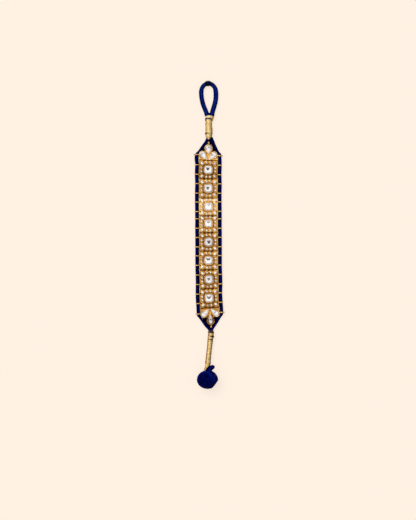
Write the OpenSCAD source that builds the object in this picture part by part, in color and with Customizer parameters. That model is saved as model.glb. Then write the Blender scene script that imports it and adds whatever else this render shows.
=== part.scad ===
// A button-and-loop bracelet: eight stone-set gold plaques strung on two thread cords,
// with a three-stone end piece, a gold-wound neck and a loop or a wound button at each end.
// It lies open and flat, +Y towards the loop, with the origin under the fourth plaque.

/* [Plaques] */
// Width of a plaque across the bracelet
plaque_w = 12.3; // [12:0.1:12.4]
// Thickness of a plaque's body, from back to face
plaque_t = 2.4; // [2.2:0.1:2.6]
// Height of the small settings above the body
bezel_h = 0.4; // [0.3:0.05:0.6]
// Height of the middle setting above the body
collet_h = 0.9; // [0.7:0.05:1.2]
// Thickness of the wall round each stone
bezel_wall = 0.28; // [0.2:0.02:0.34]

/* [Stones] */
// Width of a plaque's middle stone
centre_stone_w = 5.1; // [4.6:0.1:5.3]
// Length of a small stone, towards the middle stone
accent_len = 1.4; // [1.1:0.05:1.45]
// Width of a small stone
accent_w = 1.15; // [0.9:0.05:1.3]
// Radius of the round end of a corner stone
corner_r = 0.82; // [0.65:0.01:0.86]
// Room left round a stone in its setting
stone_gap = 0.05; // [0.04:0.01:0.08]

/* [End pieces] */
// Width of an end piece, without its side bars
end_w = 12.2; // [11.8:0.1:12.4]
// Thickness of the wall round a pear stone
pear_wall = 0.82; // [0.7:0.01:0.84]
// Height of the pear settings above the body
pear_h = 0.45; // [0.3:0.05:0.6]

/* [Rings and cords] */
// Diameter of a side cord
cord_d = 2; // [1.8:0.05:2.1]
// Distance of a side cord from the middle line
cord_x = 7.5; // [7.5:0.01:7.55]
// Bore of the rings that hold a side cord
ring_bore_d = 2.3; // [2.25:0.01:2.3]
// Thickness of a ring's band
ring_wall = 0.3; // [0.25:0.05:0.4]
// Width of a ring's band, along the cord
ring_w = 0.65; // [0.5:0.05:0.8]
// Diameter of the loop's cord
loop_d = 2.5; // [2.3:0.05:2.5]

/* [Button] */
// Diameter of the wound button
button_d = 12.8; // [12.4:0.1:13]

/* [Hidden] */

gold = "#d2a860";
white = "#f2f1ec";
blue = "#0c1f74";
pale_gold = "#dcc08a";
black = "#101014";

// Each plaque's middle, its turn about Z and its tilt about X, and how far its edge reaches
// from the middle towards the loop and towards the button.
// x, y, turn, tilt, up, down
plaques = [
  [-0.1, 34.45, -1.2, 1.5, 5.9, 5.9],
  [-0.05, 22.4, -0.6, -0.6, 5.9, 6.1],
  [-0.05, 10.65, 0.6, -2.4, 5.4, 5.7],
  [0, 0, 0, 0, 4.75, 5.85],
  [0.1, -11.85, 0.5, 1, 5.8, 5.8],
  [0.1, -23.7, 0.7, -1, 5.85, 5.9],
  [0.35, -35.75, 1.8, 1.4, 5.9, 5.9],
  [0.45, -47.8, 3.5, 0.6, 5.85, 6]
];
row_reach = 4.4;
row_margin = 0.95;
row_x = 1.15;
lobe_r = 1.15;
lobe_depth = 0.6;
corner_lobe_x = 3.05;
edge_r = 0.5;
ring_y = 3.04;
pit_r = 0.36;
pit_inset = 0.7;
seat_floor = 1.6;
collet_cut = 1.15;
seat_gap = 0.02;
collet_wall = 0.75;
corner_x = 3.95;
corner_drop = 0.45;
strip_w = 0.36;
strip_h = 0.15;

// Each end piece: the middle of its straight edge and its turn, the round end and the point of
// its side stones with their radius, and the same for the stone at its tip.
// x, y, turn, side x, side y, point x, point y, side r, tip y, tip point y, tip r
top_end = [-0.35, 40.65, -3, 3.66, 3.5, 0.8, 0.5, 1.6, 7.44, 4.29, 1.83];
bottom_end = [0.82, -54.3, 184, 3.88, 3.67, 0.73, 0.6, 1.72, 8.45, 4.4, 1.75];
bar_y = 3.1;
bar_w = 0.85;
bar_wall = 0.4;
bar_bore_d = 2.5;
end_body_t = 2.4;
end_under = 1.9;
end_stem = 2.6;
pear_floor = 2.1;
eye_r = 0.82;
eye_wire_r = 0.28;
eye_lean = 62;

// Routes along each cord: x, y, z, half width, half height
cord_r = cord_d/2;
loop_r = loop_d/2;
left_route = [
  [-0.75, 54.45, 1.3, 0.95, 0.95], [-1.6, 52.3, 1.05, 1.05, 0.8], [-3.2, 49.7, 0.95, 1.05, 0.8],
  [-4.9, 47.3, 0.95, 0.95, 0.8], [-6.45, 45.65, 0.97, 0.75, 0.8], [-7.35, 44.8, 1.4, 0.85, 0.9],
  [-7.65, 43.5, 1.55, cord_r, cord_r], [-7.5, 37.6, 1.45, cord_r, cord_r],
  [-7.7, 31.6, 1.45, cord_r, cord_r], [-7.5, 25.5, 1.45, cord_r, cord_r],
  [-7.6, 19.4, 1.45, cord_r, cord_r], [-7.6, 13.6, 1.45, cord_r, cord_r],
  [-7.5, 7.5, 1.45, cord_r, cord_r], [-7.5, 3, 1.45, cord_r, cord_r],
  [-7.5, -3, 1.45, cord_r, cord_r], [-7.4, -8.9, 1.45, cord_r, cord_r],
  [-7.4, -15, 1.45, cord_r, cord_r], [-7.4, -20.8, 1.45, cord_r, cord_r],
  [-7.4, -26.8, 1.45, cord_r, cord_r], [-7.2, -32.9, 1.45, cord_r, cord_r],
  [-7.1, -39, 1.45, cord_r, cord_r], [-7.2, -45.2, 1.45, cord_r, cord_r],
  [-6.9, -51.3, 1.45, cord_r, cord_r], [-6.5, -57.3, 1.55, cord_r, cord_r],
  [-6.4, -58.6, 1.5, cord_r, cord_r], [-5.4, -59.9, 1.05, 0.95, 0.8],
  [-4.1, -61.6, 0.95, 0.95, 0.8], [-2.7, -63.6, 0.95, 1, 0.8], [-1.2, -65.7, 1, 0.95, 0.85],
  [0.1, -67.3, 1.2, 0.85, 0.9], [0.6, -68.15, 1.4, 0.8, 0.9]
];
right_route = [
  [1.35, 54.45, 1.3, 0.95, 0.95], [2.3, 52.7, 1.05, 1.05, 0.8], [3.55, 50.3, 0.95, 1.05, 0.8],
  [4.8, 47.8, 0.95, 0.95, 0.8], [6.1, 45.3, 1, 0.95, 0.8], [7.2, 44.1, 1.5, cord_r, cord_r],
  [7.3, 42.7, 1.55, cord_r, cord_r], [7.5, 37.3, 1.45, cord_r, cord_r],
  [7.3, 31.3, 1.45, cord_r, cord_r], [7.5, 25.4, 1.45, cord_r, cord_r],
  [7.4, 19.3, 1.45, cord_r, cord_r], [7.4, 13.8, 1.45, cord_r, cord_r],
  [7.5, 7.7, 1.45, cord_r, cord_r], [7.5, 3, 1.45, cord_r, cord_r],
  [7.5, -3, 1.45, cord_r, cord_r], [7.6, -8.7, 1.45, cord_r, cord_r],
  [7.6, -14.8, 1.45, cord_r, cord_r], [7.6, -20.6, 1.45, cord_r, cord_r],
  [7.6, -26.6, 1.45, cord_r, cord_r], [7.8, -32.5, 1.45, cord_r, cord_r],
  [7.9, -38.6, 1.45, cord_r, cord_r], [7.8, -44.3, 1.45, cord_r, cord_r],
  [8.1, -50.4, 1.45, cord_r, cord_r], [8.5, -56.2, 1.55, cord_r, cord_r],
  [8.5, -57.5, 1.5, cord_r, cord_r], [7.5, -59.1, 1.05, 0.95, 0.8],
  [6.3, -61.1, 0.95, 0.95, 0.8], [5.1, -63.1, 0.95, 1, 0.8], [3.8, -65.2, 1, 0.95, 0.85],
  [2.7, -67.1, 1.2, 0.85, 0.9], [2.35, -68.15, 1.4, 0.8, 0.9]
];
loop_route = [
  [-0.75, 68.9, 1.75], [-1.4, 71.1, 1.55], [-3.1, 75.4, 1.3], [-4.2, 79.6, 1.25],
  [-4.6, 82.2, 1.25], [-4.65, 84.7, 1.25], [-4.05, 87, 1.45], [-2.35, 88.95, 1.75],
  [-0.05, 89.7, 1.9], [2.25, 88.95, 1.75], [4.05, 87, 1.45], [4.75, 84.7, 1.25],
  [4.85, 82.2, 1.25], [4.7, 79.4, 1.25], [3.75, 75.2, 1.3], [2.55, 71.1, 1.55], [2.1, 68.9, 1.75]
];
top_wrap_route = [
  [0.3, 54.9, 1.5, 1.95, 1.2], [0.3, 55.8, 1.85, 2.1, 1.75], [0.25, 57.2, 2, 2.2, 1.95],
  [0.2, 60, 2, 2.15, 1.95], [0.2, 63, 2, 2.15, 1.95], [0.3, 65.4, 2, 2.2, 1.95],
  [0.5, 66.8, 2.05, 2.35, 2], [0.65, 67.8, 2.05, 2.55, 2], [0.65, 68.5, 2, 2.5, 1.9]
];
bottom_wrap_route = [
  [1.48, -68.5, 1.7, 1.7, 1.5], [1.6, -71.5, 1.95, 1.85, 1.8], [1.15, -74.5, 2.1, 1.75, 1.75],
  [0.8, -78.6, 2.35, 1.6, 1.6], [0.45, -81.5, 2.6, 1.6, 1.6], [0, -85.9, 3, 1.6, 1.6],
  [-0.4, -90.3, 3.5, 1.7, 1.6], [-0.5, -92.3, 3.75, 1.5, 1.45], [-0.55, -93.3, 3.85, 1.1, 1.1]
];
knot_route = [
  [-0.1, -95.6, 8.3, 1.9, 1.25], [0.25, -94.2, 7.95, 1.95, 1.25], [0.8, -93.1, 7.5, 1.8, 1.2],
  [1.6, -92.25, 7.1, 1.55, 1.2], [2.6, -91.7, 6.75, 1.35, 1.15], [3.25, -91.5, 6.6, 1.1, 0.95],
  [3.8, -91.4, 6.5, 0.6, 0.5]
];
button_centre = [-0.63, -99.75, button_d/2];
binding_centre = [-0.3, 89.45, 1.9];
// The binding's section: distance along the cord, radius
binding_rows = [[-1.6, 1.64], [-1.3, 1.82], [-0.4, 1.9], [0.4, 1.9], [1.3, 1.82], [1.6, 1.64]];
binding_bore_r = 1.54;

// A stone's height and the rows from its back to its table: share of its outline, share of height
centre_stone_t = 2;
centre_rows = [[0.7, 0], [1, 0.3], [1, 0.5], [0.86, 0.78], [0.56, 1]];
accent_t = 1.05;
accent_rows = [[0.7, 0], [1, 0.45], [1, 0.6], [0.6, 1]];
pear_t = 1.15;
pear_rows = [[0.8, 0], [1, 0.25], [1, 0.5], [0.82, 0.8], [0.5, 1]];

function unit(v) = v/norm(v);
function arc(c, r, from, to, steps) =
  [for (i = [0:steps]) let (a = from + (to - from)*i/steps) c + r*[cos(a), sin(a)]];

// A drop outline about the middle of its round end, its point at (0, reach)
function pear(r, reach, steps = 16) =
  let (a = acos(r/reach)) concat(arc([0, 0], r, 90 + a, 450 - a, steps), [[0, reach]]);

// A square with cut corners
function cushion(w, cut) =
  let (h = w/2, c = h - cut)
  [[h, -c], [h, c], [c, h], [-c, h], [-h, c], [-h, -c], [-c, -h], [c, -h]];

function oval(w, h, steps = 8) = [for (i = [0:steps - 1]) [w/2*cos(i*360/steps), h/2*sin(i*360/steps)]];

// One scalloped edge of a plaque, from its right side to its left
function scallops(reach) =
  let (h = plaque_w/2, floor_y = reach - lobe_depth, side = concat(
    arc([h - edge_r, reach - edge_r], edge_r, 0, 90, 3),
    [[corner_lobe_x + 0.2, reach], [corner_lobe_x, reach - 0.2], [corner_lobe_x, floor_y]],
    arc([row_x, reach - lobe_r], lobe_r, 28, 130, 6)))
  concat(side, [for (i = [len(side) - 1:-1:0]) [-side[i].x, side[i].y]]);

function turn(p) = p[2];
function tilt(p) = p[3];
function up_reach(p) = p[4];
function down_reach(p) = p[5];

function plaque_outline(p) = concat(scallops(up_reach(p)), [for (q = scallops(down_reach(p))) -q]);

// How far a row of small stones is from the middle, for an edge at this reach
function row_y(reach) = min(row_reach, reach - row_margin);

// The small stones of a plaque: x, y, turn
function accent_places(p) = concat(
  [for (x = [-row_x, row_x]) for (y = [row_y(up_reach(p)), -row_y(down_reach(p))]) [x, y, 0]],
  [for (x = [-row_reach, row_reach]) for (y = [-row_x, row_x]) [x, y, 90]]);

// Its corner stones, which point outwards: x, y, turn
function corner_places(p) =
  let (up = row_y(up_reach(p)) - corner_drop, down = corner_drop - row_y(down_reach(p)))
  [[-corner_x, up, 45], [corner_x, up, -45], [-corner_x, down, 135], [corner_x, down, -135]];

module prism(outline, low, high) {
  translate([0, 0, low]) linear_extrude(high - low) polygon(outline);
}

// A cut stone on an outline, with its back at z = 0
module cut_stone(outline, rows, height) {
  n = len(outline);
  top = (len(rows) - 1)*n;
  polyhedron(
    points = [for (row = rows) for (q = outline) [q.x*row[0], q.y*row[0], row[1]*height]],
    faces = concat(
      [[for (i = [0:n - 1]) i]],
      [for (k = [0:len(rows) - 2]) for (i = [0:n - 1])
        let (a = k*n + i, b = k*n + (i + 1)%n) [a, a + n, b + n, b]],
      [[for (i = [n - 1:-1:0]) top + i]]));
}

// A tube through a route's points, with its own half width and half height at each
module sweep(route, sides = 8) {
  last = len(route) - 1;
  function point(i) = [route[i][0], route[i][1], route[i][2]];
  function along(i) = unit(point(min(i + 1, last)) - point(max(i - 1, 0)));
  function across(i) = unit(cross(along(i), [0, 0, 1]));
  function up(i) = cross(across(i), along(i));
  polyhedron(
    points = [for (i = [0:last]) for (k = [0:sides - 1])
      let (a = (k + 0.5)*360/sides)
      point(i) + across(i)*route[i][3]*cos(a) + up(i)*route[i][4]*sin(a)],
    faces = concat(
      [[for (k = [sides - 1:-1:0]) k]],
      [for (i = [0:last - 1]) for (k = [0:sides - 1])
        let (a = i*sides + k, b = i*sides + (k + 1)%sides) [a, b, b + sides, a + sides]],
      [[for (k = [0:sides - 1]) last*sides + k]]));
}

// Moves a plaque's piece from the plaque's own frame to its place, lowest edge on z = 0
module at_plaque(p) {
  translate([p.x, p.y, max(up_reach(p), down_reach(p))*abs(sin(tilt(p)))])
    rotate([0, 0, turn(p)]) rotate([tilt(p), 0, 0]) children();
}

module at_end(e) {
  translate([e.x, e.y, 0]) rotate([0, 0, turn(e)]) children();
}

module at_side_pear(e, x) {
  way = side_point(e) - side_middle(e);
  translate([x*side_middle(e).x, side_middle(e).y, 0]) rotate([0, 0, -atan2(x*way.x, way.y)])
    children();
}

module at_tip_pear(e) {
  translate([0, tip_y(e), 0]) rotate([0, 0, 180]) children();
}

// A ring round a side cord, soldered to the gold piece at x = inside
module cord_ring(x, y, inside, bore_d, wall, w) {
  r = bore_d/2 + wall;
  side = sign(x);
  difference() {
    union() {
      translate([x, y, r]) rotate([90, 0, 0]) cylinder(r = r, h = w, center = true, $fn = 40);
      translate([side*(inside + abs(x) - bore_d/2)/2, y, r])
        cube([abs(x) - bore_d/2 - inside + 0.3, w, 1], center = true);
    }
    translate([x, y, r]) rotate([90, 0, 0]) cylinder(d = bore_d, h = w + 1, center = true, $fn = 40);
  }
}

module plaque_body(p) {
  face = plaque_t;
  difference() {
    union() {
      prism(plaque_outline(p), 0, face);
      for (a = accent_places(p)) translate([a.x, a.y, 1])
        cylinder(r = accent_len/2 + stone_gap + bezel_wall, h = face + bezel_h - 1, $fn = 32);
      for (c = corner_places(p)) translate([c.x, c.y, 1]) rotate(c[2])
        linear_extrude(face + bezel_h - 0.95)
          polygon(pear(corner_r + stone_gap + bezel_wall, 2*corner_r + bezel_wall));
      prism(cushion(centre_stone_w + 2*(stone_gap + collet_wall), collet_cut + collet_wall/2),
        1, face + collet_h);
      for (x = [-1, 1]) translate([x*(plaque_w/2 - strip_w/2), 0, (1 + face + strip_h)/2])
        cube([strip_w, 2*ring_y - 0.8, face + strip_h - 1], center = true);
    }
    for (a = accent_places(p)) translate([a.x, a.y, seat_floor])
      cylinder(r = accent_len/2 + stone_gap, h = 3, $fn = 32);
    for (c = corner_places(p)) translate([c.x, c.y, seat_floor]) rotate(c[2])
      linear_extrude(3) polygon(pear(corner_r + stone_gap, 2*corner_r));
    prism(cushion(centre_stone_w + 2*stone_gap, collet_cut), seat_floor - 0.1, 5);
    for (x = [-1, 1]) for (y = [-ring_y, ring_y]) translate([x*(plaque_w/2 - pit_inset), y, seat_floor])
      cylinder(r = pit_r, h = 3, $fn = 24);
  }
}

module plaque(p) {
  color(gold) union() {
    at_plaque(p) plaque_body(p);
    translate([p.x, p.y, 0]) rotate([0, 0, turn(p)])
      for (x = [-cord_x, cord_x]) for (y = [-ring_y, ring_y])
        cord_ring(x, y, plaque_w/2 - 0.4, ring_bore_d, ring_wall, ring_w);
  }
}

module centre_stone(p) {
  color(white) at_plaque(p) translate([0, 0, seat_floor - 0.1 + seat_gap])
    cut_stone(cushion(centre_stone_w, collet_cut), centre_rows, centre_stone_t);
}

module accent_stones(p) {
  color(white) at_plaque(p) translate([0, 0, seat_floor + seat_gap]) {
    for (a = accent_places(p)) translate([a.x, a.y, 0]) rotate(a[2])
      cut_stone(oval(accent_w, accent_len), accent_rows, accent_t + bezel_h - 0.1);
    for (c = corner_places(p)) translate([c.x, c.y, 0]) rotate(c[2])
      cut_stone(pear(corner_r, 2*corner_r - stone_gap, 8), accent_rows, accent_t + bezel_h);
  }
}

function side_middle(e) = [e[3], e[4]];
function side_point(e) = [e[5], e[6]];
function side_reach(e) = norm(side_point(e) - side_middle(e));
function side_r(e) = e[7];
function tip_y(e) = e[8];
function tip_reach(e) = e[8] - e[9];
function tip_r(e) = e[10];

module end_outline(e, side_wall, tip_wall, shoulder) {
  h = end_w/2;
  polygon([[-h, 0], [h, 0], [h, shoulder], [-h, shoulder]]);
  polygon([[-3, 2], [3, 2], [2.4, 6.2], [-2.4, 6.2]]);
  for (x = [-1, 1]) at_side_pear(e, x) polygon(pear(side_r(e) + side_wall, side_reach(e) + 0.4));
  at_tip_pear(e) polygon(pear(tip_r(e) + tip_wall, tip_reach(e) + 0.5));
}

module trefoil(e) {
  eye_y = tip_y(e) + tip_r(e) + pear_wall + 0.95;
  color(gold) at_end(e) difference() {
    union() {
      translate([0, 0, end_under]) linear_extrude(end_body_t - end_under)
        end_outline(e, pear_wall, pear_wall + 0.08, 3.4);
      linear_extrude(end_under + 0.1) end_outline(e, -0.35, -0.25, end_stem);
      for (x = [-1, 1]) at_side_pear(e, x)
        prism(pear(side_r(e) + pear_wall - 0.25, side_reach(e) + 0.2), end_under + 0.2, end_body_t + pear_h);
      at_tip_pear(e) prism(pear(tip_r(e) + pear_wall - 0.2, tip_reach(e) + 0.3),
        end_under + 0.2, end_body_t + pear_h + 0.1);
      for (x = [-cord_x, cord_x])
        cord_ring(x, bar_y, end_w/2 - 0.4, bar_bore_d, bar_wall, bar_w);
      for (x = [-1, 1]) translate([x*(cord_x + bar_bore_d/2 + bar_wall - 0.1), bar_y, 1.6])
        rotate([0, 90, 0]) cylinder(r = 0.5, h = 0.4, center = true, $fn = 24);
      translate([0, eye_y, 2]) rotate([0, eye_lean, 0]) rotate_extrude($fn = 40)
        translate([eye_r, 0]) circle(r = eye_wire_r, $fn = 20);
      translate([0, eye_y - 1.25, 2.05]) rotate([-90, 0, 0]) cylinder(r = 0.32, h = 0.5, $fn = 20);
    }
    for (x = [-1, 1]) at_side_pear(e, x)
      prism(pear(side_r(e) + stone_gap, side_reach(e) + stone_gap), pear_floor, 5);
    at_tip_pear(e) prism(pear(tip_r(e) + stone_gap, tip_reach(e) + stone_gap), pear_floor, 5);
  }
}

module side_stone(e, x) {
  color(white) at_end(e) at_side_pear(e, x) translate([0, 0, pear_floor + seat_gap])
    cut_stone(pear(side_r(e), side_reach(e), 10), pear_rows, pear_t);
}

module tip_stone(e) {
  color(white) at_end(e) at_tip_pear(e) translate([0, 0, pear_floor + seat_gap])
    cut_stone(pear(tip_r(e), tip_reach(e), 10), pear_rows, pear_t + 0.1);
}

module plaque_1() plaque(plaques[0]);
module plaque_2() plaque(plaques[1]);
module plaque_3() plaque(plaques[2]);
module plaque_4() plaque(plaques[3]);
module plaque_5() plaque(plaques[4]);
module plaque_6() plaque(plaques[5]);
module plaque_7() plaque(plaques[6]);
module plaque_8() plaque(plaques[7]);

module centre_stone_1() centre_stone(plaques[0]);
module centre_stone_2() centre_stone(plaques[1]);
module centre_stone_3() centre_stone(plaques[2]);
module centre_stone_4() centre_stone(plaques[3]);
module centre_stone_5() centre_stone(plaques[4]);
module centre_stone_6() centre_stone(plaques[5]);
module centre_stone_7() centre_stone(plaques[6]);
module centre_stone_8() centre_stone(plaques[7]);

module accent_stones_1() accent_stones(plaques[0]);
module accent_stones_2() accent_stones(plaques[1]);
module accent_stones_3() accent_stones(plaques[2]);
module accent_stones_4() accent_stones(plaques[3]);
module accent_stones_5() accent_stones(plaques[4]);
module accent_stones_6() accent_stones(plaques[5]);
module accent_stones_7() accent_stones(plaques[6]);
module accent_stones_8() accent_stones(plaques[7]);

module top_trefoil() trefoil(top_end);
module top_stone_left() side_stone(top_end, -1);
module top_stone_right() side_stone(top_end, 1);
module top_stone_tip() tip_stone(top_end);

module bottom_trefoil() trefoil(bottom_end);
module bottom_stone_left() side_stone(bottom_end, 1);
module bottom_stone_right() side_stone(bottom_end, -1);
module bottom_stone_tip() tip_stone(bottom_end);

module side_cord_left() { color(blue) sweep(left_route); }
module side_cord_right() { color(blue) sweep(right_route); }
module top_wrap() { color(pale_gold) sweep(top_wrap_route, 14); }
module bottom_wrap() { color(pale_gold) sweep(bottom_wrap_route, 14); }

module loop_cord() {
  color(blue) sweep([for (q = loop_route) concat(q, [loop_r, loop_r])]);
}

module loop_binding() {
  half = binding_rows[len(binding_rows) - 1][0];
  color(black) translate(binding_centre) rotate([0, 90, 0]) rotate_extrude($fn = 48)
    polygon(concat(
      [[binding_bore_r, half], [binding_bore_r, -half]],
      [for (row = binding_rows) [row[1], row[0]]]));
}

// The wound ball and the turn of cord knotted at its neck
module button() {
  color(blue) union() {
    translate(button_centre) sphere(d = button_d, $fn = 64);
    sweep(knot_route, 10);
  }
}

plaque_1();
plaque_2();
plaque_3();
plaque_4();
plaque_5();
plaque_6();
plaque_7();
plaque_8();
centre_stone_1();
centre_stone_2();
centre_stone_3();
centre_stone_4();
centre_stone_5();
centre_stone_6();
centre_stone_7();
centre_stone_8();
accent_stones_1();
accent_stones_2();
accent_stones_3();
accent_stones_4();
accent_stones_5();
accent_stones_6();
accent_stones_7();
accent_stones_8();
top_trefoil();
top_stone_left();
top_stone_right();
top_stone_tip();
bottom_trefoil();
bottom_stone_left();
bottom_stone_right();
bottom_stone_tip();
side_cord_left();
side_cord_right();
top_wrap();
bottom_wrap();
loop_cord();
loop_binding();
button();
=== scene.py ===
# %% [markdown]
# # A kundan bracelet on blue thread
#
# The bracelet lies open on a pale table. Eight square gold plaques hang between two blue
# skeins, a three-stone piece closes each end, and the skeins run on through gold-wound necks
# into a loop at one end and a wound button at the other.
#
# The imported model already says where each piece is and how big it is. This lesson gives every
# piece its real surface: laid threads, wound metal thread, pressed foil and cut stones.

import bpy
import numpy as np
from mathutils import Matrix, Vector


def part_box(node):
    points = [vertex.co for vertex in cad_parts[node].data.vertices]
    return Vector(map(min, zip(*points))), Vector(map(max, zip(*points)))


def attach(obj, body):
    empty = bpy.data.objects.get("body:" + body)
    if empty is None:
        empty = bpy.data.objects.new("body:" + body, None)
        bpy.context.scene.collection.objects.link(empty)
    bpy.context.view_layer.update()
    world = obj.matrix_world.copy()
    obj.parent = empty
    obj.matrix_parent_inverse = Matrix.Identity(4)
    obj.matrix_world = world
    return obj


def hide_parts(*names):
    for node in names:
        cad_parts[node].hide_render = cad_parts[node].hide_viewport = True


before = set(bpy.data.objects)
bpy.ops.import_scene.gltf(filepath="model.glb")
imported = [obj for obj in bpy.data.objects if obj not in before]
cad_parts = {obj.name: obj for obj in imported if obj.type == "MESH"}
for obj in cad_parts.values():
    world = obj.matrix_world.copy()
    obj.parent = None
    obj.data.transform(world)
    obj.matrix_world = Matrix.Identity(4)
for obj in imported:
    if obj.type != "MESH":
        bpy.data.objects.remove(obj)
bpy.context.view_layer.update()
print("pieces in the packed model:", len(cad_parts))

# %% [markdown]
# ## The camera
#
# A flat jewel is photographed from straight above. A long lens far away keeps the plaques
# square right to the edge of the picture. The picture is 416 by 520 pixels, and one pixel
# covers 0.64 mm of the bracelet, so the height of the view gives the camera's distance.

# %% Set the camera
MM = 0.001
PICTURE = (416, 520)
MM_PER_PIXEL = 0.64
ORIGIN_PIXEL = (208.45, 223.5)
FACE_Z = 2.4
LENS, SENSOR = 200.0, 36.0

middle_x = (PICTURE[0]/2 - ORIGIN_PIXEL[0])*MM_PER_PIXEL
middle_y = (ORIGIN_PIXEL[1] - PICTURE[1]/2)*MM_PER_PIXEL
distance = PICTURE[1]*MM_PER_PIXEL*LENS/SENSOR

camera_data = bpy.data.cameras.new("camera")
camera_data.lens = LENS
camera_data.sensor_width = SENSOR
camera = bpy.data.objects.new("camera", camera_data)
camera.location = (middle_x*MM, middle_y*MM, (distance + FACE_Z)*MM)
bpy.context.scene.collection.objects.link(camera)
bpy.context.scene.camera = camera
print("camera above the table, mm:", round(distance + FACE_Z))

# %% [markdown]
# ## Lines and tubes
#
# Everything soft here is thread, and a thread is a tube that follows a line. Two helpers make
# all of it: one draws a smooth line through a few chosen points, and one wraps a tube round a
# line. Curve objects could do this too, but plain arrays make it easy to give every thread its
# own waviness and its own shade. All of it is worked out in millimetres.

# %% Smooth lines and tubes
UP = np.array([0.0, 0.0, 1.0])


def unit(v):
    return v/np.maximum(np.linalg.norm(v, axis=-1, keepdims=True), 1e-9)


def smooth_line(rows, step):
    """A smooth line through the rows. Further columns, such as half widths, are carried along."""
    rows = np.array(rows, float)
    gap = np.linalg.norm(np.diff(rows[:, :3], axis=0), axis=1)[:, None]
    slope = np.diff(rows, axis=0)/gap
    inner = (slope[:-1]*gap[1:] + slope[1:]*gap[:-1])/(gap[:-1] + gap[1:])
    lean = np.vstack([slope[:1], inner, slope[-1:]])
    line = []
    for i in range(len(gap)):
        t = np.linspace(0, 1, max(2, round(gap[i, 0]/step)), endpoint=False)[:, None]
        along = rows[i]*(1 + 2*t)*(1 - t)**2 + rows[i + 1]*t*t*(3 - 2*t)
        line.append(along + gap[i]*(lean[i]*t*(1 - t)**2 - lean[i + 1]*t*t*(1 - t)))
    return np.vstack([*line, rows[-1:]])


def run_length(line):
    """How far each point of a line is from its start."""
    return np.concatenate([[0], np.cumsum(np.linalg.norm(np.diff(line[:, :3], axis=0), axis=1))])


def across_and_up(line):
    """The level direction across a line and the direction out of its top, at each point."""
    along = unit(np.gradient(line[:, :3], axis=0))
    across = unit(np.cross(along, UP))
    return across, np.cross(across, along)


def tube(line, outward, half_w, half_h, sides=6, closed=False, tone=0.5):
    """Points, faces and tones of a tube round a line, its height turned outward.

    outward is one direction for the whole line, or one for each of its points.
    """
    if closed:
        along = unit(np.roll(line, -1, axis=0) - np.roll(line, 1, axis=0))
    else:
        along = unit(np.gradient(line, axis=0))
    across = unit(np.cross(along, outward))
    high = np.cross(across, along)
    turn = (np.arange(sides) + 0.5)*2*np.pi/sides
    wide = across[:, None]*np.cos(turn)[:, None]*np.reshape(half_w, (-1, 1, 1))
    tall = high[:, None]*np.sin(turn)[:, None]*np.reshape(half_h, (-1, 1, 1))
    points = (line[:, None] + wide + tall).reshape(-1, 3)
    rings = len(line)
    first = np.arange(rings if closed else rings - 1)[:, None]*sides
    after = (first + sides) % (rings*sides)
    k, k_next = np.arange(sides), (np.arange(sides) + 1) % sides
    faces = [np.stack([first + k, after + k, after + k_next, first + k_next], -1).reshape(-1, 4)]
    if not closed:
        faces += [k[None], (rings - 1)*sides + k[None, ::-1]]
    return points, faces, np.repeat(np.broadcast_to(tone, rings), sides)


# %% A new piece from its parts
def new_piece(name, parts, material, replaces=(), smooth=True):
    """Joins parts, each a set of points, faces and tones, into one piece that lies on the body."""
    points, faces, tones, count = [], [], [], 0
    for part_points, part_faces, part_tones in parts:
        points.append(part_points)
        tones.append(part_tones)
        faces += [face for group in part_faces for face in (np.asarray(group) + count).tolist()]
        count += len(part_points)
    mesh = bpy.data.meshes.new(name)
    mesh.from_pydata((np.vstack(points)*MM).tolist(), [], faces)
    mesh.validate()
    corner_wise = len(np.concatenate(tones)) != count
    attribute = mesh.attributes.new("tone", "FLOAT", "CORNER" if corner_wise else "POINT")
    attribute.data.foreach_set("value", np.concatenate(tones).astype(np.float32))
    (mesh.shade_smooth if smooth else mesh.shade_flat)()
    piece = bpy.data.objects.new(name, mesh)
    bpy.context.scene.collection.objects.link(piece)
    piece.data.materials.append(material)
    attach(piece, "root")
    if replaces:
        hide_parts(*replaces)
    print(f"{name}: {sum(len(f) - 2 for f in faces)} triangles")
    return piece


# %% [markdown]
# ## Thread
#
# Silk thread is dark and soft, and each strand takes a slightly different shade from how it
# was dyed and how it lies. So every point of a strand carries a tone, from 0 in the shade to
# 1 where it is lit, and the material turns that tone into a colour. A faint noise breaks the
# colour up, and a very fine one raises the fibres.

# %% Nodes and noise
def add_node(material, kind, **settings):
    """A new node with these settings of its own."""
    node = material.node_tree.nodes.new(kind)
    for key, value in settings.items():
        setattr(node, key, value)
    return node


def join(material, *pairs):
    """Links each first socket to its second."""
    for start, end in pairs:
        material.node_tree.links.new(start, end)


def set_inputs(node, **sockets):
    """Gives a node's inputs plain values. An underscore stands for a space in a name."""
    for key, value in sockets.items():
        node.inputs[key.replace("_", " ")].default_value = value


def new_material(name, **sockets):
    """A material whose shader has these plain values, with its colour still to come."""
    material = bpy.data.materials.new(name)
    material.use_nodes = True
    shader = material.node_tree.nodes["Principled BSDF"]
    set_inputs(shader, **sockets)
    return material, shader


def noise(material, size_mm, detail=2.0, stretch=(1, 1, 1)):
    """Noise with grains of about this size, drawn out along an axis if asked."""
    place = add_node(material, "ShaderNodeTexCoord")
    scale = add_node(material, "ShaderNodeMapping")
    set_inputs(scale, Scale=[s/(size_mm*MM) for s in stretch])
    grain = add_node(material, "ShaderNodeTexNoise")
    set_inputs(grain, Scale=1.0, Detail=detail)
    join(material, (place.outputs["Object"], scale.inputs["Vector"]),
        (scale.outputs["Vector"], grain.inputs["Vector"]))
    return grain.outputs["Fac"]


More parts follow.
